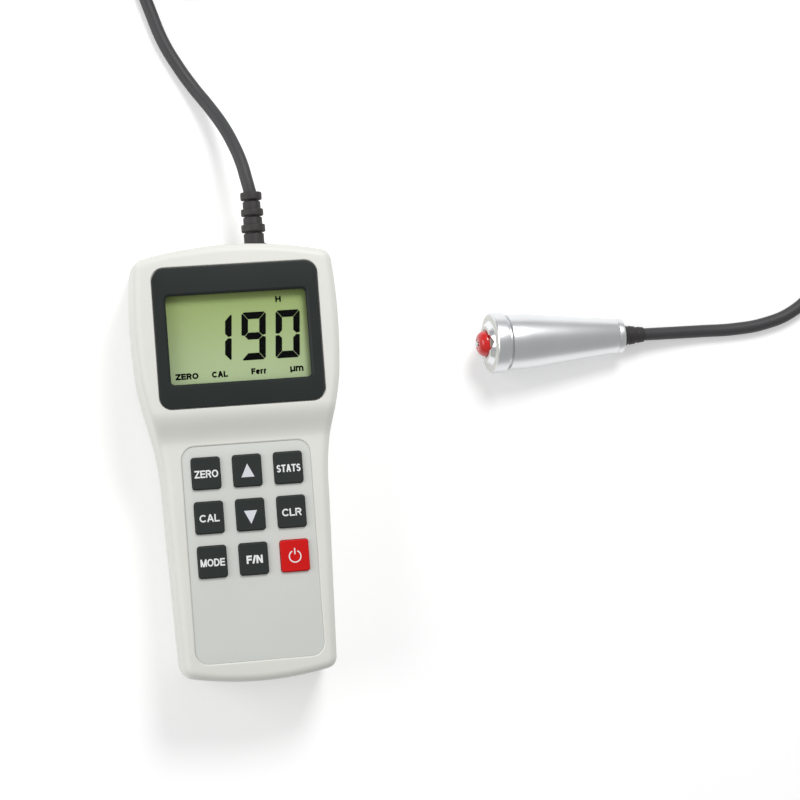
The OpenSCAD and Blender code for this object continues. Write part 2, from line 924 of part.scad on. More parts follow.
module probe_cap() {
    color([0.8, 0.81, 0.82])
    on_probe()
        turned([
            [0, spring_u1],
            [bore_r - slip, spring_u1],
            [bore_r - slip, sleeve_len],
            [cap_r, sleeve_len],
            [cap_r, probe_len],
            [0, probe_len]
        ]);
}

module probe_boot() {
    color([0.22, 0.23, 0.25])
    on_probe()
        turned([
            [0, probe_len],
            [boot_base_r, probe_len],
            [boot_end_r, probe_len + boot_len],
            [0, probe_len + boot_len]
        ]);
}

// Cable: out of the strain relief, down to the table, round a coil and on to the probe
cable_r = cable_d / 2;
coil_at = [0, 184.5];
coil_mean_r = 21;
coil_lift = 0.7;
coil_w = 2 * cable_d + 0.2;
tie_t = 0.6;
tie_gap = 0.05;
tie_angle = 22;
boot_end_u = probe_len + boot_len;
boot_end = [
    probe_at.x + boot_end_u * cos(probe_tilt),
    probe_at.y,
    probe_z - boot_end_u * sin(probe_tilt)
];
gauge_route = [
    [relief_x, relief_end_y - cable_seat, split_z],
    [8, 92, 15.8],
    [6.85, 98, 14.6],
    [5, 104.5, 12],
    [2.3, 111.5, 8.6],
    [-1.5, 118.5, 5.5],
    [-6, 125.5, 3.2],
    [-10.5, 133, cable_r + 0.2],
    [-14.8, 141.5, cable_r],
    [-18, 151, cable_r],
    [-20.8, 161, cable_r + 0.1],
    [-22.6, 172.5, cable_r + 0.5],
    [-23, 184.5, coil_lift + cable_r]
];
probe_route = [
    [-6, 206.8, 7],
    [6, 207.9, 6.5],
    [18, 207, 5.1],
    [30, 205.4, 3.5],
    [44, 203.3, cable_r + 0.3],
    [58, 201, cable_r],
    [72, 199.5, cable_r],
    [86, 198, cable_r],
    [100, 196.5, cable_r],
    [114, 195.1, cable_r],
    [128, 193.5, cable_r],
    [142, 191.5, cable_r],
    [156, 189, cable_r],
    [170, 185.5, cable_r],
    [184, 180.5, cable_r],
    [196.5, 173, cable_r],
    [206.5, 162, cable_r],
    [213, 149, cable_r],
    [216, 135, cable_r],
    [217, 120, cable_r],
    [216.5, 105.5, cable_r],
    [215.7, 91.5, cable_r],
    [214.5, 78.5, cable_r],
    [212.5, 66, cable_r],
    [208.5, 54.5, cable_r],
    [202, 45, cable_r],
    [193.5, 38.5, cable_r],
    [183.5, 35.2, cable_r],
    [172.5, 34, cable_r],
    [161, 34, cable_r + 0.4],
    [150, 34, 3.6],
    boot_end
];

module cable_run() {
    color([0.24, 0.24, 0.25])
        sweep(gauge_route, cable_r, 8);
}

module cable_lead() {
    color([0.24, 0.24, 0.25])
        sweep(probe_route, cable_r, 8);
}

module cable_coil() {
    color([0.23, 0.23, 0.24])
    translate([coil_at.x, coil_at.y, coil_lift])
        rotate_extrude()
            translate([coil_mean_r, coil_w / 2])
                round_rect(coil_w, coil_w, cable_r);
}

module cable_tie() {
    hole = coil_w + 2 * tie_gap;
    color([0.12, 0.12, 0.13])
    translate([coil_at.x, coil_at.y, coil_lift + coil_w / 2])
        rotate(-tie_angle / 2)
            rotate_extrude(angle = tie_angle)
                translate([coil_mean_r, 0])
                    difference() {
                        round_rect(hole + 2 * tie_t, hole + 2 * tie_t, cable_r);
                        round_rect(hole, hole, cable_r - tie_t / 2);
                    }
}

front_case();
rear_case();
battery_cover();
display_bezel();
display_lens();
lcd_glass();
lcd_frame();
zebra_strips();
main_board();
board_parts();
probe_socket();
keypad_mat();
keypad_label();
key(0, key_shade);  // key_zero
key(1, key_shade);  // key_up
key(2, key_shade);  // key_stats
key(3, key_shade);  // key_cal
key(4, key_shade);  // key_down
key(5, key_shade);  // key_clear
key(6, key_shade);  // key_mode
key(7, key_shade);  // key_base
key(8, power_shade);  // key_power
battery(0);  // battery_1
battery(1);  // battery_2
battery(2);  // battery_3
battery(3);  // battery_4
battery_springs();
battery_plates();
case_screws();
board_screws();
strain_relief();
cable_tail();
cable_run();
cable_coil();
cable_tie();
cable_lead();
probe_sleeve();
probe_core();
probe_nose();
contact_tip();
sensor_coil();
probe_spring();
probe_cap();
probe_boot();
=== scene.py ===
# %% [markdown]
# # Coating thickness gauge
# A handheld gauge measures the paint on metal through a probe on a cable. The engineering model holds the
# true sizes, so this lesson loads it as a fixed frame and dresses it: finer shells, a display that shows a
# reading, printed keys and real finishes. Sizes below are in millimetres and become metres at the mesh.

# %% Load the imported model
import json
import math

import bmesh
import bpy
from mathutils import Matrix, Vector

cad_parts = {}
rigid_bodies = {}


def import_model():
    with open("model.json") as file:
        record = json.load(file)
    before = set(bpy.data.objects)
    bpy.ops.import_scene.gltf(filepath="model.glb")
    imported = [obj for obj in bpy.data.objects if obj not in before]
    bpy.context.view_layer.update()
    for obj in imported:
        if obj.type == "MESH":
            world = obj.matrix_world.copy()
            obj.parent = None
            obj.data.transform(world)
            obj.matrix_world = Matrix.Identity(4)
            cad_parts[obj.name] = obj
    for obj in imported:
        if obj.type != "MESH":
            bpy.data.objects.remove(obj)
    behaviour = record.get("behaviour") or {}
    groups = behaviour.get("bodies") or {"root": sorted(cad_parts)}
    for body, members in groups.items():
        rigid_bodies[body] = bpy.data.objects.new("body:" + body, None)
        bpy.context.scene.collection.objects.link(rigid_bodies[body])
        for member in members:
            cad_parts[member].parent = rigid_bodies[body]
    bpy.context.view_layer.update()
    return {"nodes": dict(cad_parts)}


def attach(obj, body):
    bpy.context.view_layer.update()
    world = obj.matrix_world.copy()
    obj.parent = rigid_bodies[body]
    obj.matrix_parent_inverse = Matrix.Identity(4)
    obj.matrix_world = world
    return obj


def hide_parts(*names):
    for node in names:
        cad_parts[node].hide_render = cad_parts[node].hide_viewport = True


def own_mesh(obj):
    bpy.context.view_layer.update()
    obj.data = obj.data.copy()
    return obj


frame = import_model()
MM = 0.001
scene = bpy.context.scene
scene.view_settings.view_transform = "Standard"

# %% [markdown]
# ## Camera
# The camera looks down on the gauge from a little to its left. Its place and its three directions come from
# fitting straight edges of the case, so a piece that is placed by the sizes lands on the right pixel.

# %% Camera
CAMERA_AT = Vector((-84.770, -21.035, 819.158)) * MM
CAMERA_AXES = (
    (0.98331822, -0.07632285, 0.16510636),
    (0.06745072, 0.99599438, 0.05869918),
    (-0.1689251, -0.04658343, 0.98452745),
)
camera_data = bpy.data.cameras.new("table_camera")
camera_data.lens = 112.0
camera_data.sensor_width = 36
camera = bpy.data.objects.new("table_camera", camera_data)
camera.matrix_world = Matrix.Translation(CAMERA_AT) @ Matrix(CAMERA_AXES).transposed().to_4x4()
scene.collection.objects.link(camera)
scene.camera = camera
print("camera at", [round(v, 3) for v in CAMERA_AT])

# %% [markdown]
# ## Finishes
# Every finish is a Principled shader with a soft patchy colour and a fine surface grain, both from noise on
# Object coordinates, so nothing slides when a piece moves. One helper makes them all and hands back its
# nodes, so that a special finish can add to it.

# %% A finish with patches and grain


def shade(r, g, b):
    """A colour as seen on a screen, 0 to 255, as linear light."""
    return tuple((c / 255 / 12.92) if c < 11 else ((c / 255 + 0.055) / 1.055) ** 2.4 for c in (r, g, b))


def node(tree, kind, label=None, **values):
    """A new shader node; values set its inputs by name, with _ for a space."""
    made = tree.nodes.new(kind)
    made.label = label or made.label
    for name, value in values.items():
        made.inputs[name.replace("_", " ")].default_value = value
    return made


def tint(colour, gain):
    """A colour made lighter or darker, with full alpha."""
    return tuple(min(1, c * gain) for c in colour) + (1,)


def join(tree, *wires):
    """Links nodes; each wire is (node, output, node, input)."""
    for source, out, target, into in wires:
        tree.links.new(source.outputs[out], target.inputs[into])


def finish(name, colour, rough, spread=0.04, patch=70, grain=2500, bump=0.08, depth=0.05, **sockets):
    """Principled material: colour and roughness wander over patches, and grain raises a fine bump."""
    made = bpy.data.materials.new(name)
    made.use_nodes = True
    tree = made.node_tree
    shader = tree.nodes["Principled BSDF"]
    for key, value in sockets.items():
        shader.inputs[key.replace("_", " ")].default_value = value
    place = node(tree, "ShaderNodeTexCoord")
    patches = node(tree, "ShaderNodeTexNoise", "patches", Scale=patch, Detail=4.0)
    ramp = node(tree, "ShaderNodeValToRGB", "colour")
    ramp.color_ramp.elements[0].color = tint(colour, 1 - spread)
    ramp.color_ramp.elements[1].color = tint(colour, 1 + spread)
    ramp.color_ramp.elements[0].position = 0.3
    ramp.color_ramp.elements[1].position = 0.7
    level = node(tree, "ShaderNodeMapRange", "roughness", To_Min=rough * 0.9, To_Max=min(1, rough * 1.1))
    fine = node(tree, "ShaderNodeTexNoise", "grain", Scale=grain, Detail=2.0)
    raised = node(tree, "ShaderNodeBump", "grain", Strength=bump, Distance=depth * MM)
    join(tree, (place, "Object", patches, "Vector"), (place, "Object", fine, "Vector"))
    join(tree, (patches, "Fac", ramp, "Fac"), (patches, "Fac", level, "Value"))
    join(tree, (ramp, "Color", shader, "Base Color"), (level, "Result", shader, "Roughness"))
    join(tree, (fine, "Fac", raised, "Height"), (raised, "Normal", shader, "Normal"))
    return made


print("finish helper ready")

# %% Plastics, paints and rubber
CHARCOAL = shade(42, 47, 46)
case_plastic = finish("case_plastic", shade(226, 226, 220), 0.5, 0.012, 45, 3200, 0.1, 0.03)
bezel_plastic = finish("bezel_plastic", CHARCOAL, 0.42, 0.05, 50, 3500, 0.12, 0.03, Specular_IOR_Level=0.14)
key_plastic = finish("key_plastic", CHARCOAL, 0.5, 0.06, 90, 4200, 0.12, 0.03, Specular_IOR_Level=0.25)
power_plastic = finish(
    "power_plastic", shade(208, 16, 16), 0.45, 0.04, 90, 4200, 0.1, 0.03, Specular_IOR_Level=0.2
)
panel_film = finish("panel_film", shade(212, 214, 209), 0.55, 0.015, 40, 5200, 0.2, 0.04)
legend_paint = finish("legend_paint", shade(236, 238, 238), 0.6, 0.02, 300, 6000, 0.1, 0.02)
arrow_paint = finish("arrow_paint", shade(216, 218, 224), 0.6, 0.02, 300, 6000, 0.1, 0.02)
rubber = finish("rubber", shade(46, 43, 43), 0.62, 0.08, 120, 3000, 0.2, 0.05)
print("finishes", len(bpy.data.materials))

# %% [markdown]
# ## Mesh helpers
# Most moulded pieces are stacks of closed outlines, one above the other, so the main helper joins rings of
# points with quads. A rounded rectangle and a turned profile are the other shapes, and booleans cut them.

# %% Turn points into pieces


def piece(name, points, faces, material, smooth=35):
    """New object at the origin from points in millimetres, smooth but for edges sharper than the angle."""
    mesh = bpy.data.meshes.new(name)
    mesh.from_pydata([Vector(p) * MM for p in points], [], faces)
    return finish_mesh(name, mesh, material, smooth)


def finish_mesh(name, mesh, material, smooth=35):
    """Merges doubles, turns faces outwards and links the mesh as an object."""
    work = bmesh.new()
    work.from_mesh(mesh)
    bmesh.ops.remove_doubles(work, verts=work.verts, dist=1e-7)
    bmesh.ops.recalc_face_normals(work, faces=work.faces)
    work.to_mesh(mesh)
    work.free()
    mesh.shade_smooth()
    mesh.set_sharp_from_angle(angle=math.radians(smooth))
    mesh.materials.clear()
    mesh.materials.append(material)
    made = bpy.data.objects.new(name, mesh)
    scene.collection.objects.link(made)
    return made


def stack(rings, closed=False):
    """Points and faces of rings joined in order; closed joins the last to the first, else both are capped."""
    n = len(rings[0])
    points = [p for ring in rings for p in ring]
    faces = []
    count = len(rings)
    for k in range(count if closed else count - 1):
        a, b = k * n, ((k + 1) % count) * n
        faces += [(a + i, a + (i + 1) % n, b + (i + 1) % n, b + i) for i in range(n)]
    if not closed:
        faces += [tuple(range(n - 1, -1, -1)), tuple(range((count - 1) * n, count * n))]
    return points, faces


print("pieces from points ready")

# %% Rings and profiles


def rounded(w, h, r, z, at=(0, 0), steps=10):
    """Ring of a rounded rectangle, in millimetres."""
    ring = []
    for k, (sx, sy) in enumerate(((1, 1), (-1, 1), (-1, -1), (1, -1))):
        for i in range(steps + 1):
            a = math.radians(90 * k + 90 * i / steps)
            x = at[0] + sx * (w / 2 - r) + r * math.cos(a)
            ring.append((x, at[1] + sy * (h / 2 - r) + r * math.sin(a), z))
    return ring


def fillet(w, h, r, z, size, at=(0, 0), top=True, steps=5):
    """Rings of a rounded rectangle that curves in by size at its top, or out of its foot."""
    rings = []
    for i in range(steps + 1):
        a = math.pi / 2 * i / steps
        inset = size * (1 - math.cos(a)) if top else size * (1 - math.sin(a))
        height = z - size + size * math.sin(a) if top else z + size * (1 - math.cos(a))
        rings.append(rounded(w - 2 * inset, h - 2 * inset, max(0.05, r - inset), height, at))
    return rings


def turned(profile, spin=96):
    """Points and faces of a profile of (radius, distance) turned about +X."""
    angles = [math.tau * i / spin for i in range(spin)]
    rings = []
    for r, u in profile:
        r = max(r, 1e-4)
        rings.append([(u, r * math.cos(a), r * math.sin(a)) for a in angles])
    return stack(rings, closed=profile[0][0] > 0.01 and profile[-1][0] > 0.01)


def eased(profile, size, steps=4):
    """The profile with each sharp corner replaced by a small curve."""
    out = [profile[0]]
    for before, at, after in zip(profile, profile[1:], profile[2:]):
        before, at, after = Vector(before), Vector(at), Vector(after)
        a, b = before - at, after - at
        reach = min(size, 0.45 * a.length, 0.45 * b.length)
        if a.length < 1e-6 or b.length < 1e-6 or abs(a.angle(b) - math.pi) < 0.15:
            out.append(tuple(at))
            continue
        start, end = at + a.normalized() * reach, at + b.normalized() * reach
        for i in range(steps + 1):
            t = i / steps
            out.append(tuple((1 - t) ** 2 * start + 2 * t * (1 - t) * at + t * t * end))
    return out + [profile[-1]]


print("a rounded ring has", len(rounded(2, 2, 1, 0)), "points")

# %% Cut and dress pieces


def carve(target, cutters, how="DIFFERENCE"):
    """Applies one exact boolean with several cutters, and removes the cutters."""
    group = bpy.data.collections.new("cutters")
    scene.collection.children.link(group)
    for cutter in cutters:
        scene.collection.objects.unlink(cutter)
        group.objects.link(cutter)
    cut = target.modifiers.new("carve", "BOOLEAN")
    cut.operation = how
    cut.solver = "EXACT"
    cut.operand_type = "COLLECTION"
    cut.collection = group
    apply_all(target)
    for cutter in list(group.objects):
        bpy.data.meshes.remove(cutter.data)
    bpy.data.collections.remove(group)


def apply_all(target, smooth=35):
    """Turns the modifiers of a piece into plain mesh."""
    bpy.context.view_layer.update()
    ready = target.evaluated_get(bpy.context.evaluated_depsgraph_get())
    solid = bpy.data.meshes.new_from_object(ready)
    old = target.data
    target.modifiers.clear()
    target.data = solid
    bpy.data.meshes.remove(old)
    solid.shade_smooth()
    solid.set_sharp_from_angle(angle=math.radians(smooth))


def dress(made, body, slot, *nodes):
    """The piece rides on a body and may stand for nodes, which are hidden. The slot is not used."""
    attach(made, body)
    if nodes:
        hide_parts(*nodes)
    print(made.name, len(made.data.polygons), "faces")
    return made


print("cutting and dressing ready")

# %% [markdown]
# ## The probe cable
# About a metre of round cable joins the gauge to its probe. It leaves the strain relief, drops to the table,
# goes round a tied coil that lies above the view, and comes back to the probe. A Bezier curve through the
# same points as the solids keeps it smooth, and its bevel gives it its thickness.

# %% Cable route
CABLE_R = 2.1
COIL_AT = Vector((0, 184.5))
GAUGE_ROUTE = [
    (9, 86.943, 16), (8, 92, 15.8), (6.85, 98, 14.6), (5, 104.5, 12), (2.3, 111.5, 8.6),
    (-1.5, 118.5, 5.5), (-6, 125.5, 3.2), (-10.5, 133, 2.3), (-14.8, 141.5, 2.1), (-18, 151, 2.1),
    (-20.8, 161, 2.2), (-22.6, 172.5, 2.6),
]
PROBE_ROUTE = [
    (9, 207.9, 6.0), (18, 207, 5.1), (30, 205.4, 3.5), (44, 203.3, 2.4), (58, 201, 2.1), (72, 199.5, 2.1),
    (86, 198, 2.1), (100, 196.5, 2.1), (114, 195.1, 2.1), (128, 193.5, 2.1), (142, 191.5, 2.1),
    (156, 189, 2.1), (170, 185.5, 2.1), (184, 180.5, 2.1), (196.5, 173, 2.1), (206.5, 162, 2.1),
    (213, 149, 2.1), (216, 135, 2.1), (217, 120, 2.1), (216.5, 105.5, 2.1), (215.7, 91.5, 2.1),
    (214.5, 78.5, 2.1), (212.5, 66, 2.1), (208.5, 54.5, 2.1), (202, 45, 2.1), (193.5, 38.5, 2.1),
    (183.5, 35.2, 2.1), (172.5, 34, 2.1), (161, 34, 2.5), (150, 34, 3.6), (139.722, 34, 4.975),
]
TURNS, COIL_STEPS = 4.25, 20
COIL_RADII = [(0, 23.1), (0.75, 23.1), (1.1, 18.9), (2.9, 18.9), (3.25, 23.1), (TURNS, 23.4)]
COIL_HEIGHTS = [(0, 2.8), (1.75, 2.8), (2.1, 7.1), (4, 7.1), (TURNS, 6.7)]


def ease(t):
    """Soft step from 0 to 1."""
    t = min(1, max(0, t))
    return t * t * (3 - 2 * t)


def between(t, marks):
    """Value at t on a list of (t, value) marks, eased from one to the next."""
    for (t0, v0), (t1, v1) in zip(marks, marks[1:]):
        if t <= t1:
            return v0 + (v1 - v0) * ease((t - t0) / (t1 - t0))
    return marks[-1][1]


def coil_point(turn):
    """Place after so many turns: outer and inner turn below, then inner and outer turn on top."""
    r, z = between(turn, COIL_RADII), between(turn, COIL_HEIGHTS)
    a = math.pi - math.tau * turn
    return (COIL_AT.x + r * math.cos(a), COIL_AT.y + r * math.sin(a), z)


coil = [coil_point(k / COIL_STEPS) for k in range(int(TURNS * COIL_STEPS) + 1)]
route_m = [Vector(p) * MM for p in GAUGE_ROUTE + coil + PROBE_ROUTE]

# %% Cable curve
cable_rubber = finish("cable_rubber", shade(57, 57, 59), 0.55, 0.08, 130, 2600, 0.15, 0.05)
cable_line = bpy.data.curves.new("probe_cable", "CURVE")
cable_line.dimensions = "3D"
cable_line.resolution_u = 6
cable_line.bevel_depth = CABLE_R * MM
cable_line.bevel_resolution = 6
cable_line.use_fill_caps = True
spline = cable_line.splines.new("BEZIER")
spline.bezier_points.add(len(route_m) - 1)
for knot, place in zip(spline.bezier_points, route_m):
    knot.co = place
    knot.handle_left_type = knot.handle_right_type = "AUTO"
cable_line.materials.append(cable_rubber)
probe_cable = bpy.data.objects.new("probe_cable", cable_line)
scene.collection.objects.link(probe_cable)
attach(probe_cable, "gauge")
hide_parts("cable_run", "cable_coil", "cable_lead")
print("cable tube", round(2 * CABLE_R, 2), "mm thick")

# %% [markdown]
# ## Case outline
# The two shells share one outline: a straight grip, a wide head with softly bowed sides, and curved ends. It
# is written as a rule, half width against length, with corner arcs that touch both the side and the end.

# %% Case outline
CASE_LEN, HEAD_W, GRIP_W = 140.5, 66.2, 53.8
CASE_DEPTH, FACE_STEP, SPLIT_Z, WALL = 31.7, 4.1, 16.0, 2.2
EDGE_R, CORNER_R, CABLE_END_R, HAND_END_R = 2.8, 4.2, 132.0, 106.0
NECK_LEN, NECK_MID, CROWN_Y, CROWN_R, GRIP_TAPER = 42.0, 7.0, 45.0, 185.0, 0.03
STEP_FROM, STEP_TO = 6.3, 17.5
END_STEPS, CORNER_STEPS = 24, 12
END_Y = CASE_LEN / 2
GRIP_Z = CASE_DEPTH - FACE_STEP
SEAM = 0.25


def side_x(y):
    """Half width of the case at a place along it."""
    head = HEAD_W / 2 - (y - CROWN_Y) ** 2 / (2 * CROWN_R)
    grip = GRIP_W / 2 + GRIP_TAPER * y
    return grip + (head - grip) * ease((y - NECK_MID) / NECK_LEN + 0.5)


def side_out(y):
    """Direction out of the side there."""
    slope = (side_x(y + 0.01) - side_x(y - 0.01)) / 0.02
    return Vector((1, -slope)).normalized()


def corner_at(end, r):
    """Height where the corner arc leaves the side, so that the arc also touches the curved end."""
    centre = Vector((0, end * (END_Y - r)))
    near, far = end * END_Y / 2, end * END_Y
    for _ in range(40):
        mid = (near + far) / 2
        corner = Vector((side_x(mid), mid)) - CORNER_R * side_out(mid)
        near, far = (near, mid) if (corner - centre).length > r - CORNER_R else (mid, far)
    return mid, corner, centre


def turn_of(v):
    """Angle of a direction."""
    return math.atan2(v.y, v.x)


def arc(centre, r, a, b, steps):
    """Points of an arc after its start, as (x, y, out x, out y)."""
    for i in range(steps):
        t = a + (b - a) * (i + 1) / steps
        yield (centre.x + r * math.cos(t), centre.y + r * math.sin(t), math.cos(t), math.sin(t))


def outline():
    """Right half of the outline from the cable end to the lower end, as (x, y, out x, out y)."""
    top_y, top_c, top_o = corner_at(1, CABLE_END_R)
    low_y, low_c, low_o = corner_at(-1, HAND_END_R)
    top_a, low_a = turn_of(top_c - top_o), turn_of(low_c - low_o)
    points = [(0, END_Y, 0, 1)]
    points += arc(top_o, CABLE_END_R, math.pi / 2, top_a, END_STEPS)
    points += arc(top_c, CORNER_R, top_a, turn_of(side_out(top_y)), CORNER_STEPS)
    for start, end, steps in ((top_y, STEP_TO, 36), (STEP_TO, STEP_FROM, 18), (STEP_FROM, low_y, 50)):
        for i in range(steps):
            y = start + (end - start) * (i + 1) / steps
            n = side_out(y)
            points.append((side_x(y), y, n.x, n.y))
    points += arc(low_c, CORNER_R, turn_of(side_out(low_y)), low_a, CORNER_STEPS)
    points += arc(low_o, HAND_END_R, low_a, -math.pi / 2, END_STEPS)
    return points


EDGE = outline()
print("outline", len(EDGE), "points, head", round(2 * max(e[0] for e in EDGE), 2), "mm wide")

# %% Rings of the case


def case_ring(inset, height):
    """The outline moved in, at a height that may change along the case."""
    half = []
    for x, y, nx, ny in EDGE:
        y -= inset * ny
        half.append((x - inset * nx, y, height(y)))
    half[0] = (0, *half[0][1:])
    half[-1] = (0, *half[-1][1:])
    return half + [(-x, y, z) for x, y, z in half[-2:0:-1]]


def face_z(y):
    """Height of the face, which drops from the head to the grip."""
    return CASE_DEPTH - FACE_STEP * (1 - ease((y - STEP_FROM) / (STEP_TO - STEP_FROM)))


def shell(name, rings):
    """A skin through case rings. The first and last are closed by strips across the case."""
    points, faces = stack(rings)
    n = len(rings[0])
    faces = faces[:-2]
    for base, flip in ((0, False), ((len(rings) - 1) * n, True)):
        for i in range(n // 2):
            strip = [base + i, base + i + 1, base + n - i - 1, base + (n - i) % n]
            strip = list(dict.fromkeys(strip))
            faces.append(tuple(strip[::-1] if flip else strip))
    return piece(name, points, faces, case_plastic)


def level(z):
    """The same height all along the case."""
    return lambda y: z


print("face", round(face_z(-END_Y), 2), "to", round(face_z(END_Y), 2), "mm high")

# %% [markdown]
# ## Cutters
# Recesses in the face are cut out with exact booleans. Each cutter flares where it meets the face, so the
# cut leaves a small rounded edge that catches the light, as a moulded edge does.

# %% Places on the face
RELIEF_X, RELIEF_Y = 9.0, 69.943
BEZEL = {"w": 53.0, "h": 45.0, "r": 4.0, "at": (0, 40.6), "top": 32.0, "seat": 30.8}
WINDOW = {"w": 45.0, "h": 28.3, "r": 1.3, "at": (0, 39.95)}
PANEL = {"w": 40.8, "h": 68.65, "r": 4.0, "at": (0, -28.625), "low": 27.0, "top": 27.25}
KEY = {"w": 9.1, "h": 10.1, "r": 0.9}
KEY_FIRST_Y, KEY_PITCH_X, KEY_PITCH_Y = -2.7, 13.2, 14.1
KEY_SPOTS = [((c - 1) * KEY_PITCH_X, KEY_FIRST_Y - r * KEY_PITCH_Y) for r in range(3) for c in range(3)]
CASE_SCREWS = [(s * x, y) for x, y in ((25.5, 61.5), (17.5, -62.0)) for s in (-1, 1)]
BOARD_SCREWS = [(s * x, y) for x, y in ((19.5, 6.2), (16.5, -47.725)) for s in (-1, 1)]
print(len(KEY_SPOTS), "keys,", len(CASE_SCREWS), "case screws,", len(BOARD_SCREWS), "board screws")

# %% Cutters
LIP_TURN, LIP_STEPS = math.radians(78), 5
RELIEF_HOLE = [(0, -3), (3.35, -3), (3.35, 5), (0, 5)]


def flared(w, h, r, z0, z1, at, size=0.35, up=2):
    """Cutter from z0 up through the face at z1, with a rounded lip of that size."""
    rings = [rounded(w, h, r, z0, at)]
    for i in range(LIP_STEPS + 1):
        a = LIP_TURN * i / LIP_STEPS
        grow = size * (1 - math.cos(a))
        rings.append(rounded(w + 2 * grow, h + 2 * grow, r + grow, z1 - size + size * math.sin(a), at))
    rings.append(rounded(w + 2 * grow, h + 2 * grow, r + grow, z1 + up, at))
    return piece("cutter", *stack(rings), case_plastic)


def plain(w, h, r, z0, z1, at):
    """Upright block with rounded corners."""
    return piece("cutter", *stack([rounded(w, h, r, z, at) for z in (z0, z1)]), case_plastic)


def rod(r, z0, z1, at, spin=40):
    """Upright round rod."""
    turn = [math.tau * i / spin for i in range(spin)]
    rings = [[(at[0] + r * math.cos(a), at[1] + r * math.sin(a), z) for a in turn] for z in (z0, z1)]
    return piece("cutter", *stack(rings), case_plastic)


def box(low, high):
    """Block between two corners, its edges only just broken."""
    w, h = high[0] - low[0], high[1] - low[1]
    return plain(w, h, 0.05, low[2], high[2], ((low[0] + high[0]) / 2, (low[1] + high[1]) / 2))


def at_relief(u, a, b):
    """A turned point moved to the cable end, where it lies along +Y."""
    return (RELIEF_X + a, RELIEF_Y + u, SPLIT_Z + b)


def relief_cutter():
    """Round hole at the cable end, half in each shell."""
    points, faces = turned(RELIEF_HOLE, 48)
    return piece("cutter", [at_relief(*p) for p in points], faces, case_plastic)


print("cutters flare by", round(math.degrees(LIP_TURN)), "degrees")

# %% [markdown]
# ## Front shell
# The front shell carries the display and the keypad. Its face drops in a soft S from the display to the
# grip, and its rim is a quarter round. The skin is lofted finely by rule, because the fall of light along
# that S and round the rim is what makes the case look moulded.

# %% Front shell
FACE_IN = 0.4
CASE_BOSS_R, BOARD_BOSS_R, BOARD_TOP, BOSS_UNDER_FACE = 2.6, 2.4, 18.6, 1.1
PILOT_R, CASE_PILOT, BOARD_PILOT = 1.3, (15, 24.6), (17.6, 22.8)
BEZEL_ROOM, PANEL_ROOM, KEY_ROOM = 0.15, 0.25, 0.25
PANEL_LIP, KEY_HOLE_TOP = 0.58, 27.3
DISPLAY_HOLE = (50.2, 33.5, 2.85, SPLIT_Z, 31.0)
RIM_STEPS = 12


def face_ring(inset, r, drop, degrees):
    """Ring on the quarter round between the face, at 90 degrees, and the wall, at 0."""
    a = math.radians(degrees)
    return case_ring(inset + r * (1 - math.cos(a)), lambda y: face_z(y) - drop - r * (1 - math.sin(a)))


def grown(place, room):
    """Width, height and corner of a place with room on every side."""
    return place["w"] + 2 * room, place["h"] + 2 * room, place["r"] + room


rim = [face_ring(FACE_IN, EDGE_R, 0, 90 - 90 / RIM_STEPS * i) for i in range(RIM_STEPS + 1)]
seam_steps = ((0, SPLIT_Z + SEAM), (SEAM, SPLIT_Z), (WALL, SPLIT_Z))
seam_rings = [case_ring(inset, level(z)) for inset, z in seam_steps]
lining = [face_ring(FACE_IN + WALL, EDGE_R - WALL, WALL, a) for a in (0, 30, 60, 90)]
front_shell = shell("front_shell", rim + seam_rings + lining)
bosses = [rod(CASE_BOSS_R, SPLIT_Z, face_z(y) - BOSS_UNDER_FACE, (x, y)) for x, y in CASE_SCREWS]
bosses += [rod(BOARD_BOSS_R, BOARD_TOP, face_z(y) - BOSS_UNDER_FACE, (x, y)) for x, y in BOARD_SCREWS]
carve(front_shell, bosses, "UNION")
cutters = [
    flared(*grown(BEZEL, BEZEL_ROOM), BEZEL["seat"], CASE_DEPTH, BEZEL["at"]),
    plain(*DISPLAY_HOLE, WINDOW["at"]),
    flared(*grown(PANEL, PANEL_ROOM), PANEL["low"], GRIP_Z, PANEL["at"], PANEL_LIP),
    relief_cutter(),
]
cutters += [plain(*grown(KEY, KEY_ROOM), SPLIT_Z, KEY_HOLE_TOP, at) for at in KEY_SPOTS]
cutters += [rod(PILOT_R, *CASE_PILOT, at) for at in CASE_SCREWS]
cutters += [rod(PILOT_R, *BOARD_PILOT, at) for at in BOARD_SCREWS]
carve(front_shell, cutters)
dress(front_shell, "gauge", "case_plastic", "front_case")

# %% [markdown]
# ## Rear shell and battery cover
# The rear shell is a plain tray. A bay under the grip holds four cells and is closed by a cover that slides
# off towards the lower end, so the same outline is used three times: tray, slot and cover.

# %% Rear shell
BACK_IN, BELOW, PAST_END = 0.5, -1, -90
BAY_HALF, BAY_LOW, BAY_HIGH, BAY_TOP, BAY_WALL = 21.5, -56.0, -6.15, 13.2, 1.8
BAY_FOOT, BAY_ROOF = 2.6, 1.3
SLOT_END, DECK_TOP, COVER_T, COVER_GAP = -4.35, 3.6, 2.0, 0.2
RAIL_OUT, RAIL_LOW, DECK_RUN = 0.8, 1.2, 8
REAR_BOSS_R, REAR_BOSS_LOW = 3.5, 1.8
HEAD_HOLE_R, HEAD_SEAT, SHANK_HOLE_R = 2.8, 4.5, 1.45


def floor_z(y):
    """Height of the tray's floor, which rises over the cover."""
    return WALL + (DECK_TOP - WALL) * (1 - ease((y - SLOT_END - WALL) / DECK_RUN))


def back_rings():
    """Quarter round from the wall to the flat back."""
    rings = []
    for i in range(RIM_STEPS + 1):
        a = math.radians(90 / RIM_STEPS * i)
        rings.append(case_ring(BACK_IN + EDGE_R * (1 - math.cos(a)), level(EDGE_R * (1 - math.sin(a)))))
    return rings


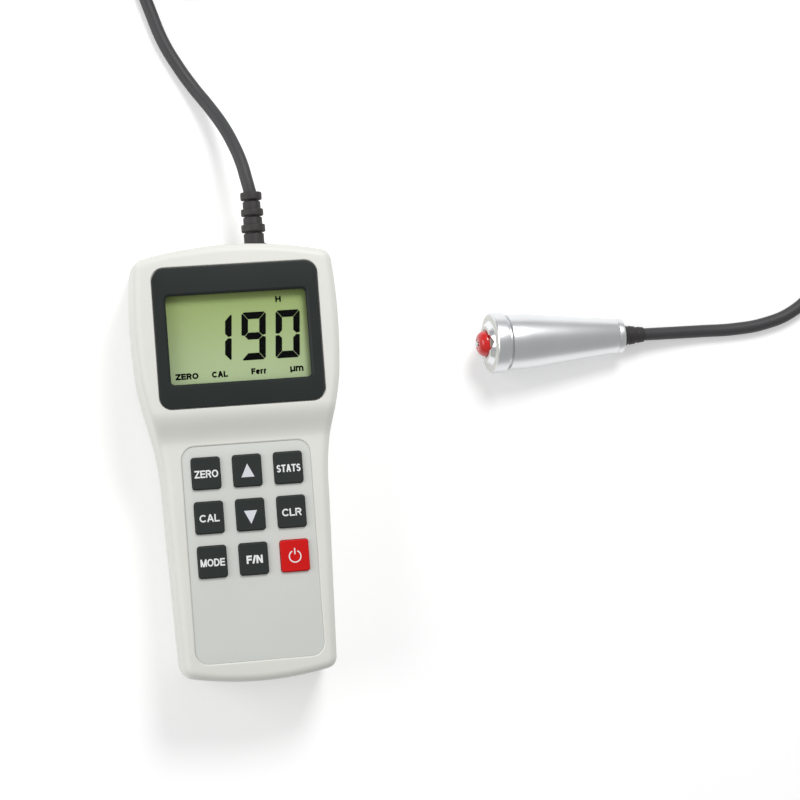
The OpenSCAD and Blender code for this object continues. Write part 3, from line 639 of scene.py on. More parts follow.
def tray_ring(degrees):
    """Ring of the inner round between floor and wall."""
    a = math.radians(degrees)
    r = EDGE_R - WALL
    return case_ring(BACK_IN + WALL + r * (1 - math.cos(a)), lambda y: floor_z(y) + r * (1 - math.sin(a)))


def cover_cutters(gap):
    """The cover's tongue and its two rails, as two boxes that run out past the lower end."""
    half, end = BAY_HALF + gap, SLOT_END + gap
    rail = half + RAIL_OUT
    return [
        box((-half, PAST_END, BELOW), (half, end, COVER_T + gap)),
        box((-rail, PAST_END, RAIL_LOW - gap), (rail, end, COVER_T + gap)),
    ]


tray = [tray_ring(90 - 30 * i) for i in range(4)]
lip_steps = ((WALL, SPLIT_Z), (SEAM, SPLIT_Z), (0, SPLIT_Z - SEAM))
lip = [case_ring(inset, level(z)) for inset, z in lip_steps]
rear_shell = shell("rear_shell", tray + lip + back_rings())
bay = box(
    (-BAY_HALF - BAY_WALL, BAY_LOW - BAY_WALL, BAY_FOOT),
    (BAY_HALF + BAY_WALL, BAY_HIGH + BAY_WALL, BAY_TOP + BAY_ROOF),
)
carve(rear_shell, [bay] + [rod(REAR_BOSS_R, REAR_BOSS_LOW, SPLIT_Z, at) for at in CASE_SCREWS], "UNION")
cutters = cover_cutters(COVER_GAP)
cutters += [box((-BAY_HALF, BAY_LOW, BELOW), (BAY_HALF, BAY_HIGH, BAY_TOP)), relief_cutter()]
for at in CASE_SCREWS:
    cutters += [rod(HEAD_HOLE_R, BELOW, HEAD_SEAT, at), rod(SHANK_HOLE_R, 0, SPLIT_Z + 1, at)]
carve(rear_shell, cutters)
dress(rear_shell, "gauge", "case_plastic", "rear_case")

# %% Battery cover
RIB_FROM, RIB_PITCH, RIB_COUNT, RIB_W, RIB_DEPTH = 7.5, 2.0, 7, 1.0, 0.5
battery_door = shell("battery_door", back_rings())
tongue, rails = cover_cutters(0)
carve(tongue, [rails], "UNION")
carve(battery_door, [tongue], "INTERSECT")
ribs = [SLOT_END - RIB_FROM - RIB_PITCH * i for i in range(RIB_COUNT)]
carve(battery_door, [
    box((-BAY_HALF / 2, y - RIB_W / 2, BELOW), (BAY_HALF / 2, y + RIB_W / 2, RIB_DEPTH)) for y in ribs
])
dress(battery_door, "cover", "case_plastic", "battery_cover")

# %% [markdown]
# ## Display
# The dark bezel is a raised frame with a soft outer edge and a small bevel towards the window. Rings walk
# once round its section, from the foot over the top to the lens pocket, and the last ring joins the first.

# %% Bezel and lens
BEZEL_GAP, BEZEL_SOFT = 0.1, 0.35
WINDOW_BEVEL = ((0.75, 0), (0.65, 0.06), (0.25, 0.32), (0, 0.7))
LENS_POCKET, BEZEL_FOOT = (47.5, 30.8, 1.65), (49.9, 33.2, 2.7)
LENS_SEAT, FOOT_Z = 30.2, 28.65
LENS, LENS_LOW, LENS_SOFT = (47.2, 30.5, 1.5), 28.8, 0.15


def frame_rings():
    """Rings once round the bezel's section."""
    top, at = BEZEL["top"], WINDOW["at"]
    outer = grown(BEZEL, -BEZEL_GAP)
    rings = [rounded(*outer, BEZEL["seat"], BEZEL["at"])]
    rings += fillet(*outer, top, BEZEL_SOFT, BEZEL["at"])
    rings += [rounded(*grown(WINDOW, out), top - drop, at) for out, drop in WINDOW_BEVEL]
    rings.append(rounded(*grown(WINDOW, 0), LENS_SEAT, at))
    rings += [rounded(*LENS_POCKET, z, at) for z in (LENS_SEAT, FOOT_Z)]
    rings += [rounded(*BEZEL_FOOT, z, at) for z in (FOOT_Z, BEZEL["seat"])]
    return rings


def pane(name, size, low, high, soft, material):
    """A flat pane behind the window with softened edges."""
    rings = fillet(*size, low, soft, WINDOW["at"], top=False) + fillet(*size, high, soft, WINDOW["at"])
    return piece(name, *stack(rings), material)


bezel = piece("bezel", *stack(frame_rings(), closed=True), bezel_plastic, 30)
dress(bezel, "gauge", "bezel_plastic", "display_bezel")
lens_clear = finish(
    "lens_clear", shade(30, 34, 32), 0.06, 0.01, 40, 900, 0.01, 0.01,
    Alpha=0.05, IOR=1.49, Specular_IOR_Level=0.1,
)
dress(pane("lens", LENS, LENS_LOW, LENS_SEAT, LENS_SOFT, lens_clear), "gauge", "lens", "display_lens")

# %% [markdown]
# The display glass is a green reflective panel. A gradient along the case paints it darker at the top and a
# little
# lighter towards the bottom: painted shade that follows how light falls on the display. The reading is made
# of seven-segment digits, each segment a flat bar with mitred ends, standing a hair above the glass.

# %% Display glass
LCD, LCD_LOW, LCD_TOP, LCD_SOFT = (49.6, 32.9, 0.5), 25.7, 28.5, 0.1


def mix_in(material, colour, factor):
    """Mixes a second colour into a finish by a factor between 0 and 1."""
    tree = material.node_tree
    shader = tree.nodes["Principled BSDF"]
    mix = node(tree, "ShaderNodeMixRGB", Color2=(*colour, 1))
    tree.links.new(shader.inputs["Base Color"].links[0].from_socket, mix.inputs["Color1"])
    tree.links.new(factor, mix.inputs["Fac"])
    join(tree, (mix, "Color", shader, "Base Color"))
    return material


lcd_green = finish(
    "lcd_green", shade(162, 183, 111), 0.35, 0.03, 35, 4000, 0.04, 0.02, Specular_IOR_Level=0.2
)
tree = lcd_green.node_tree
where = node(tree, "ShaderNodeSeparateXYZ")
# Painted shade: a gradient along Y makes the glass darker at the top and lighter towards the bottom.
slope = node(tree, "ShaderNodeMapRange", "painted light towards the bottom", From_Min=0.026, From_Max=0.054, To_Min=0.95, To_Max=0)
join(tree, (tree.nodes["Texture Coordinate"], "Object", where, "Vector"), (where, "Y", slope, "Value"))
mix_in(lcd_green, shade(197, 217, 170), slope.outputs["Result"])
dress(pane("lcd_panel", LCD, LCD_LOW, LCD_TOP, LCD_SOFT, lcd_green), "gauge", "display", "lcd_glass")

# %% Reading on the display
segment_ink = finish("segment_ink", shade(3, 4, 3), 0.6, 0.05, 200, 5000, 0.05, 0.01, Specular_IOR_Level=0.05)
DIGIT_W, DIGIT_H, DIGIT_PITCH = 7.83, 15.37, 10.99
DIGIT_MID, DIGIT_RIGHT, SLANT = 40.07, 20.0, 0.073
UPRIGHT_W, LYING_H, SLIT, CUT = 2.1, 2.24, 0.1, 0.6
NOTCH_OUT, NOTCH_MID = 0.4, 0.18
INK_LIFT, INK_T, WORD_T, STROKE_STEP = 0.01, 0.03, 0.02, 0.002
SEGMENTS = {"1": "bc", "9": "abcdfg", "0": "abcdef"}


def bars():
    """Outline of each segment of one digit, from its lower left corner."""
    w, h, t, v = DIGIT_W, DIGIT_H, UPRIGHT_W, LYING_H
    m, s = h / 2, SLIT
    lying = [(CUT / 2 + s, h - CUT / 2), (CUT + s, h), (w - CUT - s, h), (w - CUT / 2 - s, h - CUT / 2)]
    lying += [(w - t - s, h - v), (t + s, h - v)]
    middle = [(t / 2 + s, m), (t + s, m + v / 2), (w - t - s, m + v / 2)]
    middle += [(w - x, h - y) for x, y in middle]
    upright = [(0, m + NOTCH_OUT), (t / 2, m + NOTCH_MID), (t, m + v / 2 + s), (t, h - v - s)]
    upright += [(CUT / 2, h - CUT / 2 - s), (0, h - CUT - s)]
    return {
        "a": lying,
        "d": [(x, h - y) for x, y in lying],
        "f": upright,
        "e": [(x, h - y) for x, y in upright],
        "b": [(w - x, y) for x, y in upright],
        "c": [(w - x, h - y) for x, y in upright],
        "g": middle,
    }


def plate(outlines, z, thick):
    """Points and faces of flat outlines raised by a thickness."""
    points, faces = [], []
    for shape in outlines:
        start = len(points)
        area = sum(a[0] * b[1] - b[0] * a[1] for a, b in zip(shape, shape[1:] + shape[:1]))
        shape = shape if area > 0 else shape[::-1]
        ring = [[(x, y, height) for x, y in shape] for height in (z, z + thick)]
        p, f = stack(ring)
        points += p
        faces += [tuple(i + start for i in face) for face in f]
    return points, faces


shapes = []
for k, digit in enumerate("190"):
    left = DIGIT_RIGHT - DIGIT_W - DIGIT_PITCH * (2 - k)
    for letter in SEGMENTS[digit]:
        low = [(x, y - DIGIT_H / 2) for x, y in bars()[letter]]
        shapes.append([(left + x + SLANT * y, DIGIT_MID + y) for x, y in low])
digits = piece("lcd_digits", *plate(shapes, LCD_TOP + INK_LIFT, INK_T), segment_ink)
dress(digits, "gauge", "display")

# %% [markdown]
# ## Lettering
# The words on the display and on the keys are short working words in a plain sans letter. Each letter is a
# few strokes in a box one cap height tall, made of straight lines and bows. A pen of one width follows each
# stroke with mitred corners, and the letters are spread to the printed width.

# %% Letter shapes


def bow(cx, cy, rx, ry, start, end, steps=14):
    """Points on an oval from one angle to another, in degrees."""
    angles = [math.radians(start + (end - start) * k / steps) for k in range(steps + 1)]
    return [(cx + rx * math.cos(a), cy + ry * math.sin(a)) for a in angles]


def letters(up, out):
    """Each letter's width and strokes, in cap heights; stems end further by up, and arms by out."""
    foot, head, small = -up, 1 + up, 0.72 + up
    return {
        "A": (0.8, [[(0, foot), (0.39, head)], [(0.8, foot), (0.41, head)], [(0.15, 0.3), (0.65, 0.3)]]),
        "C": (0.78, [bow(0.42, 0.5, 0.42, 0.5, 38, 322, 28)]),
        "D": (0.72, [[(0, 0.5), (0, 0), (0.3, 0)] + bow(0.3, 0.5, 0.42, 0.5, -90, 90) + [(0, 1), (0, 0.51)]]),
        "E": (0.6, [[(0.6 + out, 1), (0, 1), (0, 0), (0.6 + out, 0)], [(0, 0.52), (0.55 + out, 0.52)]]),
        "F": (0.56, [[(0, foot), (0, 1), (0.56 + out, 1)], [(0, 0.5), (0.5 + out, 0.5)]]),
        "H": (0.68, [[(0, foot), (0, head)], [(0.68, foot), (0.68, head)], [(0, 0.52), (0.68, 0.52)]]),
        "L": (0.54, [[(0, head), (0, 0), (0.54 + out, 0)]]),
        "M": (0.84, [
            [(0, foot), (0, head)],
            [(0.84, foot), (0.84, head)],
            [(0.02, 1.05), (0.42, foot)],
            [(0.82, 1.05), (0.42, foot)],
        ]),
        "N": (0.7, [[(0, foot), (0, head)], [(0.7, foot), (0.7, head)], [(0.02, 1.05), (0.68, -0.05)]]),
        "O": (0.86, [bow(0.43, 0.5, 0.43, 0.5, 90, 270), bow(0.43, 0.5, 0.43, 0.5, -90, 90)]),
        "R": (0.68, [
            [(0, foot), (0, 1), (0.38, 1)] + bow(0.38, 0.75, 0.28, 0.25, 90, -90) + [(0, 0.5)],
            [(0.4, 0.5), (0.68, foot)],
        ]),
        "S": (0.66, [bow(0.33, 0.75, 0.31, 0.25, 22, 270) + bow(0.33, 0.25, 0.33, 0.25, 90, -158)[1:]]),
        "T": (0.72, [[(-out, 1), (0.72 + out, 1)], [(0.36, 1), (0.36, foot)]]),
        "Z": (0.66, [[(-out, 1), (0.66 + out, 1)], [(-out, 0), (0.66 + out, 0)], [(0.64, 1), (0.02, 0)]]),
        "/": (0.2, [[(-0.08, foot), (0.28, head)]]),
        "e": (0.56, [bow(0.28, 0.36, 0.28, 0.36, 2, 318, 24), [(0, 0.37), (0.56, 0.37)]]),
        "r": (0.3, [[(0, foot), (0, small)], bow(0.3, 0.4, 0.3, 0.32, 180, 75)]),
        "m": (0.88, [
            [(0, foot), (0, small)],
            bow(0.22, 0.5, 0.22, 0.22, 180, 0) + [(0.44, foot)],
            bow(0.66, 0.5, 0.22, 0.22, 180, 0) + [(0.88, foot)],
        ]),
        "µ": (0.5, [
            [(0, -0.35), (0, small)],
            bow(0.25, 0.24, 0.25, 0.24, 180, 360) + [(0.5, small)],
            [(0.5, 0.2), (0.5, foot)],
        ]),
    }


print("letters drawn:", len(letters(0, 0)))

# %% Printed words
MITRE = 1.6


def pen_line(spots, pen):
    """Outline of a line drawn with a pen of one width, its corners mitred."""
    spots = [Vector(spot) for spot in spots]
    ways = [(b - a).normalized() for a, b in zip(spots, spots[1:])]
    left, right = [], []
    for k, spot in enumerate(spots):
        a, b = ways[max(0, k - 1)], ways[min(k, len(ways) - 1)]
        across = Vector((-a.y - b.y, a.x + b.x)).normalized()
        reach = across * min(MITRE, 1 / max(0.1, across.dot((-a.y, a.x)))) * pen / 2
        left.append(tuple(spot + reach))
        right.append(tuple(spot - reach))
    return left + right[::-1]


def word(name, text, at, width, height, z, material, pen, gap):
    """Flat letters centred at a place, fitted to a width and a cap height in millimetres."""
    rise = height - pen
    plain_letters = letters(0, 0)
    spread = (width - pen * len(text) - gap * (len(text) - 1)) / sum(plain_letters[c][0] for c in text)
    drawn = letters(pen / 2 / rise, pen / 2 / spread)
    left = at[0] - width / 2 + pen / 2
    points, faces = [], []
    for letter in text:
        wide, strokes = drawn[letter]
        for k, line in enumerate(strokes):
            spots = [(left + x * spread, at[1] - rise / 2 + y * rise) for x, y in line]
            p, f = plate([pen_line(spots, pen)], z + INK_LIFT, WORD_T + STROKE_STEP * k)
            faces += [tuple(i + len(points) for i in face) for face in f]
            points += p
        left += wide * spread + pen + gap
    return piece(name, points, faces, material)


LCD_PEN, LCD_GAP = 0.52, 0.12
for name, text, at, width, height in (
    ("lcd_hold", "H", (13.8, 51.45), 1.8, 1.95),
    ("lcd_zero", "ZERO", (-17.1, 28.45), 7.3, 1.95),
    ("lcd_cal", "CAL", (-6.6, 28.5), 5.1, 1.95),
    ("lcd_base", "Ferr", (6.0, 28.75), 4.95, 1.95),
    ("lcd_unit", "µm", (18.2, 28.95), 4.3, 2.15),
):
    dress(word(name, text, at, width, height, LCD_TOP, segment_ink, LCD_PEN, LCD_GAP), "gauge", "display")

# %% [markdown]
# ## Keypad
# A thin grey film lies in a recess of the grip, and nine keys come up through it. The film and the keys get
# rounded edges; each key has a lip below the face, as the real one does, which keeps it from falling out.

# %% Keypad film
FILM_ROOM, FILM_SOFT = 0.22, 0.08
HOLE_ROOM, HOLE_LIP, HOLE_LOW = 0.12, 0.12, 26
film_size = grown(PANEL, FILM_ROOM)
film_rings = [rounded(*film_size, PANEL["low"], PANEL["at"])]
film_rings += fillet(*film_size, PANEL["top"], FILM_SOFT, PANEL["at"])
film = piece("keypad_film", *stack(film_rings), panel_film)
carve(film, [flared(*grown(KEY, HOLE_ROOM), HOLE_LOW, PANEL["top"], at, HOLE_LIP) for at in KEY_SPOTS])
dress(film, "gauge", "panel", "keypad_label")

# %% Key shapes
KEY_TOP, LIP_LOW, LIP_TOP, STEM_LOW = 28.2, 24.1, 25.2, 23.3
STEM, LIP_OUT, KEY_SOFT, DISH_IN, DISH = (5.6, 5.6, 0.9), 1, 0.35, 0.7, 0.02
ARROW_HALF, ARROW_TIP, ARROW_DOWN = 2.1, 2.2, 0.8
SIGN_OUT, SIGN_IN, SIGN_DOWN, SIGN_GAP, SIGN_STEPS = 2.05, 1.68, 0.25, 26, 40
STROKE_HALF, STROKE_LOW, STROKE_HIGH = 0.19, 0.4, 2.4


def key_rings(at):
    """Rings of one key: stem, lip, sides and a barely dished top."""
    rings = [rounded(*STEM, z, at) for z in (STEM_LOW, LIP_LOW)]
    rings += [rounded(*grown(KEY, LIP_OUT), z, at) for z in (LIP_LOW, LIP_TOP)]
    rings.append(rounded(*grown(KEY, 0), LIP_TOP, at))
    rings += fillet(*grown(KEY, 0), KEY_TOP, KEY_SOFT, at)
    rings.append(rounded(KEY["w"] - 2 * DISH_IN, KEY["h"] - 2 * DISH_IN, KEY["r"], KEY_TOP - DISH, at))
    return rings


def triangle(at, up):
    """An arrow that points up or down."""
    s = 1 if up else -1
    mid = at[1] if up else at[1] - ARROW_DOWN
    foot = mid - s * ARROW_HALF
    return [(at[0] - ARROW_HALF, foot), (at[0] + ARROW_HALF, foot), (at[0], mid + s * ARROW_TIP)]


def power_sign(at):
    """An open ring with a stroke in its gap."""
    x, y = at
    turn = (90 + SIGN_GAP, 450 - SIGN_GAP, SIGN_STEPS)
    outer, inner = (bow(x, y - SIGN_DOWN, r, r, *turn) for r in (SIGN_OUT, SIGN_IN))
    quads = [[outer[i], outer[i + 1], inner[i + 1], inner[i]] for i in range(SIGN_STEPS)]
    left, right, low, high = x - STROKE_HALF, x + STROKE_HALF, y + STROKE_LOW, y + STROKE_HIGH
    return quads + [[(left, low), (right, low), (right, high), (left, high)]]


print("key top", KEY_TOP, "mm")

# %% Keys
KEY_NAMES = ("zero", "up", "stats", "cal", "down", "clear", "mode", "base", "power")
KEY_WORDS = {
    "zero": ("ZERO", 7.6), "stats": ("STATS", 7.7), "cal": ("CAL", 6.4), "clear": ("CLR", 6.3),
    "mode": ("MODE", 7.8), "base": ("F/N", 5.2),
}
WORD_H, WORD_DOWN, WORD_PEN, WORD_GAP = 2.4, 0.2, 0.45, 0.17
BASE_PEN, BASE_H, BASE_RIGHT = 0.6, 2.62, 0.2
for name, at in zip(KEY_NAMES, KEY_SPOTS):
    body = f"key_{name}_body"
    red = name == "power"
    cap = piece(f"cap_{name}", *stack(key_rings(at)), power_plastic if red else key_plastic)
    dress(cap, body, "power_key" if red else "key_plastic", f"key_{name}")
    if name in KEY_WORDS:
        text, width = KEY_WORDS[name]
        pen, tall, right = (BASE_PEN, BASE_H, BASE_RIGHT) if name == "base" else (WORD_PEN, WORD_H, 0)
        spot = (at[0] + right, at[1] - WORD_DOWN)
        mark = word(f"legend_{name}", text, spot, width, tall, KEY_TOP - DISH, legend_paint, pen, WORD_GAP)
    else:
        shapes = power_sign(at) if red else [triangle(at, name == "up")]
        ink = legend_paint if red else arrow_paint
        mark = piece(f"legend_{name}", *plate(shapes, KEY_TOP - DISH + INK_LIFT, INK_T), ink)
    dress(mark, body, "key_plastic")

# %% [markdown]
# ## Strain relief
# A soft rubber sleeve keeps the cable from kinking where it leaves the case. It is turned: a thin flange on
# the case, then three collars that get smaller, each with a fine groove before it. A small curve on each
# corner of the profile makes it rubbery.

# %% Strain relief
RELIEF_STEPS = [
    (4.05, 0.4, 1), (3.3, 1, 4.9), (3.9, 4.9, 7.3), (3.1, 7.3, 10.2), (3.65, 10.2, 12.4), (2.9, 12.4, 15.4),
    (3.5, 15.4, 17.9),
]
RELIEF_FOOT = [(0, -4.1), (4.05, -4.1), (4.05, -2.7), (3.2, -2.7), (3.2, 0.4)]
RELIEF_MOUTH = [(2.45, 17.9), (2.45, 16.5), (0, 16.5)]
GROOVE_W, GROOVE_DEPTH, RELIEF_SOFT = 0.55, 0.5, 0.4


def placed(profile, move, name, material, ease_by=0.2, spin=96, smooth=40):
    """A turned piece with eased corners, each point moved to its place."""
    points, faces = turned(eased(profile, ease_by), spin)
    return piece(name, [move(*p) for p in points], faces, material, smooth)


relief_steps = []
for k, (r, near, far) in enumerate(RELIEF_STEPS):
    if k % 2:
        groove, edge = r - GROOVE_DEPTH, far - GROOVE_W
        relief_steps += [(r, near), (r, edge), (groove, edge), (groove, far)]
    else:
        relief_steps += [(r, near), (r, far)]
relief = placed(RELIEF_FOOT + relief_steps + RELIEF_MOUTH, at_relief, "relief", rubber, RELIEF_SOFT)
dress(relief, "gauge", "dark_rubber", "strain_relief")

# %% [markdown]
# ## Probe
# The probe is turned from aluminium: a wide flange with blasted faces and a polished bevel, a collar with a
# V groove that seats on pipes, and a barrel that tapers to the cable. Inside it a sprung steel tube carries
# a glossy red nose and the contact tip. All are profiles turned about the probe's slightly tilted axis.

# %% Probe finishes
PROBE_AT = Vector((84, 34, 10.547))
PROBE_TILT = math.radians(5.71059)
AXIS = Vector((math.cos(PROBE_TILT), 0, -math.sin(PROBE_TILT)))


def lathe_lines(material, scale, strength, depth):
    """Fine rings along the probe's axis, as a turning tool leaves them."""
    tree = material.node_tree
    along = node(tree, "ShaderNodeVectorMath")
    along.operation = "DOT_PRODUCT"
    along.inputs[1].default_value = AXIS
    lines = node(tree, "ShaderNodeTexNoise", "lathe lines", Scale=scale)
    lines.noise_dimensions = "1D"
    raised = node(tree, "ShaderNodeBump", "lathe lines", Strength=strength, Distance=depth * MM)
    shader = tree.nodes["Principled BSDF"]
    tree.links.new(shader.inputs["Normal"].links[0].from_socket, raised.inputs["Normal"])
    join(tree, (tree.nodes["Texture Coordinate"], "Object", along, 0), (along, "Value", lines, "W"))
    join(tree, (lines, "Fac", raised, "Height"), (raised, "Normal", shader, "Normal"))
    return material


def metal(name, colour, rough, *look, metallic=1.0):
    """A finish for bare metal."""
    return finish(name, colour, rough, *look, Metallic=metallic)


satin_aluminium = metal("satin_aluminium", shade(226, 228, 229), 0.34, 0.03, 60, 4000, 0.05, 0.02)
polished_aluminium = metal("polished_aluminium", shade(232, 234, 236), 0.16, 0.02, 90, 2500, 0.03, 0.01)
blasted_aluminium = metal(
    "blasted_aluminium", shade(222, 222, 218), 0.62, 0.1, 4200, 6500, 0.7, 0.08, metallic=0.85
)
tube_steel = metal("tube_steel", shade(206, 202, 190), 0.3, 0.04, 90, 3000, 0.05, 0.02)
chrome = metal("chrome", shade(224, 226, 228), 0.1, 0.02, 200, 3000, 0.02, 0.01)
red_gloss = finish(
    "red_gloss", shade(206, 20, 16), 0.24, 0.05, 120, 2600, 0.04, 0.02, Coat_Weight=0.5, Coat_Roughness=0.08
)
copper_wire = metal("copper_wire", shade(188, 112, 62), 0.35, 0.06, 200, 3000, 0.05, 0.02)
lathe_lines(satin_aluminium, 5200, 0.25, 0.02)
lathe_lines(tube_steel, 6000, 0.2, 0.02)
lathe_lines(copper_wire, 7000, 0.8, 0.08)
print("finishes", len(bpy.data.materials))

# %% Probe sleeve
SLEEVE = [
    (4.75, 24), (4.75, 0), (6, 0), (7.45, 1.6), (9.5, 1.6), (10, 2.1), (10, 6), (8, 6), (8, 7.4), (9.2, 7.4),
    (9.2, 14), (5.8, 46), (4.75, 46), (4.75, 25),
]
VEE, VEE_REACH = [(-1, -2.5), (0, -2.5), (1.2, 0), (0, 2.5), (-1, 2.5)], 11
FACE_SQUARE, FACE_BACK = 0.93, 2
BEVEL_SQUARE, BEVEL_BACK, BEVEL_R = 0.3, 1.8, 7.6
BLASTED, POLISHED = 1, 2


def at_probe(u, a, b):
    """A turned point moved onto the probe's axis."""
    s, c = math.sin(PROBE_TILT), math.cos(PROBE_TILT)
    return (PROBE_AT.x + u * c + b * s, PROBE_AT.y + a, PROBE_AT.z - u * s + b * c)


def probe_part(name, profile, material, ease_by=0.15, spin=128):
    """A turned piece of the probe."""
    return placed(profile, at_probe, name, material, ease_by, spin, 30)


sleeve = probe_part("sleeve", SLEEVE, satin_aluminium, 0.22)
vee_rings = [[at_probe(u, a, b) for u, a in VEE] for b in (-VEE_REACH, VEE_REACH)]
carve(sleeve, [piece("cutter", *stack(vee_rings), satin_aluminium)])
sleeve.data.materials.append(blasted_aluminium)
sleeve.data.materials.append(polished_aluminium)
for face in sleeve.data.polygons:
    offset = face.center / MM - PROBE_AT
    u = offset.dot(AXIS)
    r = (offset - u * AXIS).length
    front = -face.normal.dot(AXIS)
    if front > FACE_SQUARE and u < FACE_BACK:
        face.material_index = BLASTED
    elif front > BEVEL_SQUARE and u < BEVEL_BACK and r < BEVEL_R:
        face.material_index = POLISHED
dress(sleeve, "gauge", "probe_aluminium", "probe_sleeve")

# %% Measuring core, nose and tip
CORE = [(0, 21.2), (4.37, 21.2), (4.37, 0.4), (4.65, 0.4), (4.65, 22.4), (0, 22.4)]
NOSE_R, NOSE_TOP_R, NOSE_FOOT, NOSE_RISE = 4.35, 1.9, 0.4, 3.0
NOSE_BACK = [(1.02, 4.4), (NOSE_R, 4.4)]
NOSE_DIMPLE = [(1.7, -2.6), (1.6, -2.5), (1.25, -2.5), (1.02, -2.45)]
TIP_BACK, TIP_END, TIP_DOME = [(0, 18), (1, 18)], -3.4, 0.8


def right_angle(steps):
    """Angles from 0 to a right angle."""
    return [math.pi / 2 * i / steps for i in range(steps + 1)]


core = probe_part("core_tube", CORE, tube_steel, 0.08)
dress(core, "core", "core_steel", "probe_core")
wide = NOSE_R - NOSE_TOP_R
nose_arc = [(NOSE_TOP_R + wide * math.cos(a), NOSE_FOOT - NOSE_RISE * math.sin(a)) for a in right_angle(16)]
nose = probe_part("nose", NOSE_BACK + nose_arc + NOSE_DIMPLE, red_gloss, 0.03)
dress(nose, "core", "red_nose", "probe_nose")
tip_dome = [(math.cos(a), TIP_END + (1 - math.sin(a)) * TIP_DOME) for a in right_angle(12)]
tip = probe_part("tip", TIP_BACK + tip_dome[:-1] + [(0, TIP_END)], chrome, 0.02, 64)
dress(tip, "core", "chrome_tip", "contact_tip")

# %% End cap and cable boot
END_CAP = [(0, 40), (4.73, 40), (4.73, 46), (5.8, 46), (5.8, 48), (0, 48)]
BOOT = [
    (0, 48), (3.6, 48), (3.35, 49.8), (3.1, 50), (3.05, 50.8), (3.2, 51), (2.95, 52.8), (2.7, 53),
    (2.65, 53.8), (2.75, 54), (2.5, 56), (0, 56),
]
end_cap = probe_part("end_cap", END_CAP, satin_aluminium, 0.3)
dress(end_cap, "gauge", "probe_aluminium", "probe_cap")
boot = probe_part("cable_boot", BOOT, rubber, 0.15, 64)
dress(boot, "gauge", "dark_rubber", "probe_boot")

# %% [markdown]
# ## Springs
# Wire springs follow a path, so a node tree makes them: a spiral with named sizes, swept by a small circle.
# The bay's springs are one spiral on four points, every second one turned round, as the cells alternate.

# %% A spring tree


class Tree:
    """A geometry node tree under construction."""

    def __init__(self, name, **inputs):
        self.tree = bpy.data.node_groups.new(name, "GeometryNodeTree")
        self.tree.interface.new_socket("Geometry", in_out="INPUT", socket_type="NodeSocketGeometry")
        self.ids = {}
        for label, value in inputs.items():
            kind = "NodeSocketInt" if isinstance(value, int) else "NodeSocketFloat"
            socket = self.tree.interface.new_socket(label, in_out="INPUT", socket_type=kind)
            socket.default_value = value
            self.ids[label] = (socket.identifier, value)
        self.tree.interface.new_socket("Geometry", in_out="OUTPUT", socket_type="NodeSocketGeometry")
        self.given = self.tree.nodes.new("NodeGroupInput")

    def add(self, kind, links=(), **values):
        """A new node; links gives its inputs a value or another node's output."""
        made = self.tree.nodes.new(kind if kind.startswith("Shader") else "GeometryNode" + kind)
        for key, value in values.items():
            setattr(made, key, value)
        for socket, source in dict(links).items():
            if isinstance(source, bpy.types.NodeSocket):
                self.tree.links.new(source, made.inputs[socket])
            else:
                made.inputs[socket].default_value = source
        return made

    def maths(self, how, a, b=0.0):
        """The output of one sum."""
        return self.add("ShaderNodeMath", {0: a, 1: b}, operation=how).outputs[0]

    def close(self, geometry, material):
        """Makes the instances real, smooth and finished, and sends them out."""
        real = self.add("RealizeInstances", {"Geometry": geometry})
        smooth = self.add("SetShadeSmooth", {"Geometry": real.outputs[0]})
        ink = self.add("SetMaterial", {"Geometry": smooth.outputs[0], "Material": material})
        self.tree.links.new(ink.outputs[0], self.tree.nodes.new("NodeGroupOutput").inputs[0])

    def grow(self, name, points=((0, 0, 0),)):
        """Runs the tree on a few points and returns the plain mesh as a piece."""
        mesh = bpy.data.meshes.new(name)
        mesh.from_pydata([Vector(p) * MM for p in points], [], [])
        made = bpy.data.objects.new(name, mesh)
        scene.collection.objects.link(made)
        run = made.modifiers.new("grow", "NODES")
        run.node_group = self.tree
        for identifier, value in self.ids.values():
            run[identifier] = value
        apply_all(made, 40)
        return made


def spring_wire(t, low, high, height, turns, wire):
    """Spiral swept by a circle, inside a tree."""
    spiral = {"Rotations": turns, "Start Radius": low, "End Radius": high, "Height": height}
    path = t.add("CurveSpiral", {"Resolution": 28, **spiral})
    section = t.add("CurvePrimitiveCircle", {"Resolution": 10, "Radius": wire})
    swept = {"Curve": path.outputs[0], "Profile Curve": section.outputs[0], "Fill Caps": True}
    return t.add("CurveToMesh", swept).outputs[0]


plated_steel = metal("plated_steel", shade(196, 198, 200), 0.28, 0.05, 160, 3000, 0.05, 0.02)
print("spring tree ready")

# %% Springs of the bay
CELL_PITCH, CELL_Z = 10.7, 7.65
t = Tree(
    "bay_springs", base_radius=3.6 * MM, top_radius=2.0 * MM, height=3.7 * MM, turns=3.0, wire=0.35 * MM,
    start=-55.6 * MM, finish=-6.55 * MM,
)
wire = spring_wire(t, *(t.given.outputs[k] for k in ("base_radius", "top_radius", "height", "turns", "wire")))
odd = t.maths("MODULO", t.add("InputIndex").outputs[0], 2.0)
span = t.maths("SUBTRACT", t.given.outputs["finish"], t.given.outputs["start"])
along = t.maths("ADD", t.maths("MULTIPLY", odd, span), t.given.outputs["start"])
quarter = t.maths("MULTIPLY", t.maths("SUBTRACT", odd, 0.5), math.pi)
turn = t.add("ShaderNodeCombineXYZ", {"X": quarter}).outputs[0]
shift = t.add("ShaderNodeCombineXYZ", {"Y": along}).outputs[0]
spots = t.add("SetPosition", {"Geometry": t.given.outputs["Geometry"], "Offset": shift})
springs = t.add("InstanceOnPoints", {"Points": spots.outputs[0], "Instance": wire, "Rotation": turn})
t.close(springs.outputs[0], plated_steel)
bay_springs = t.grow("bay_springs", [((i - 1.5) * CELL_PITCH, 0, CELL_Z) for i in range(4)])
dress(bay_springs, "gauge", "plated_steel", "battery_springs")

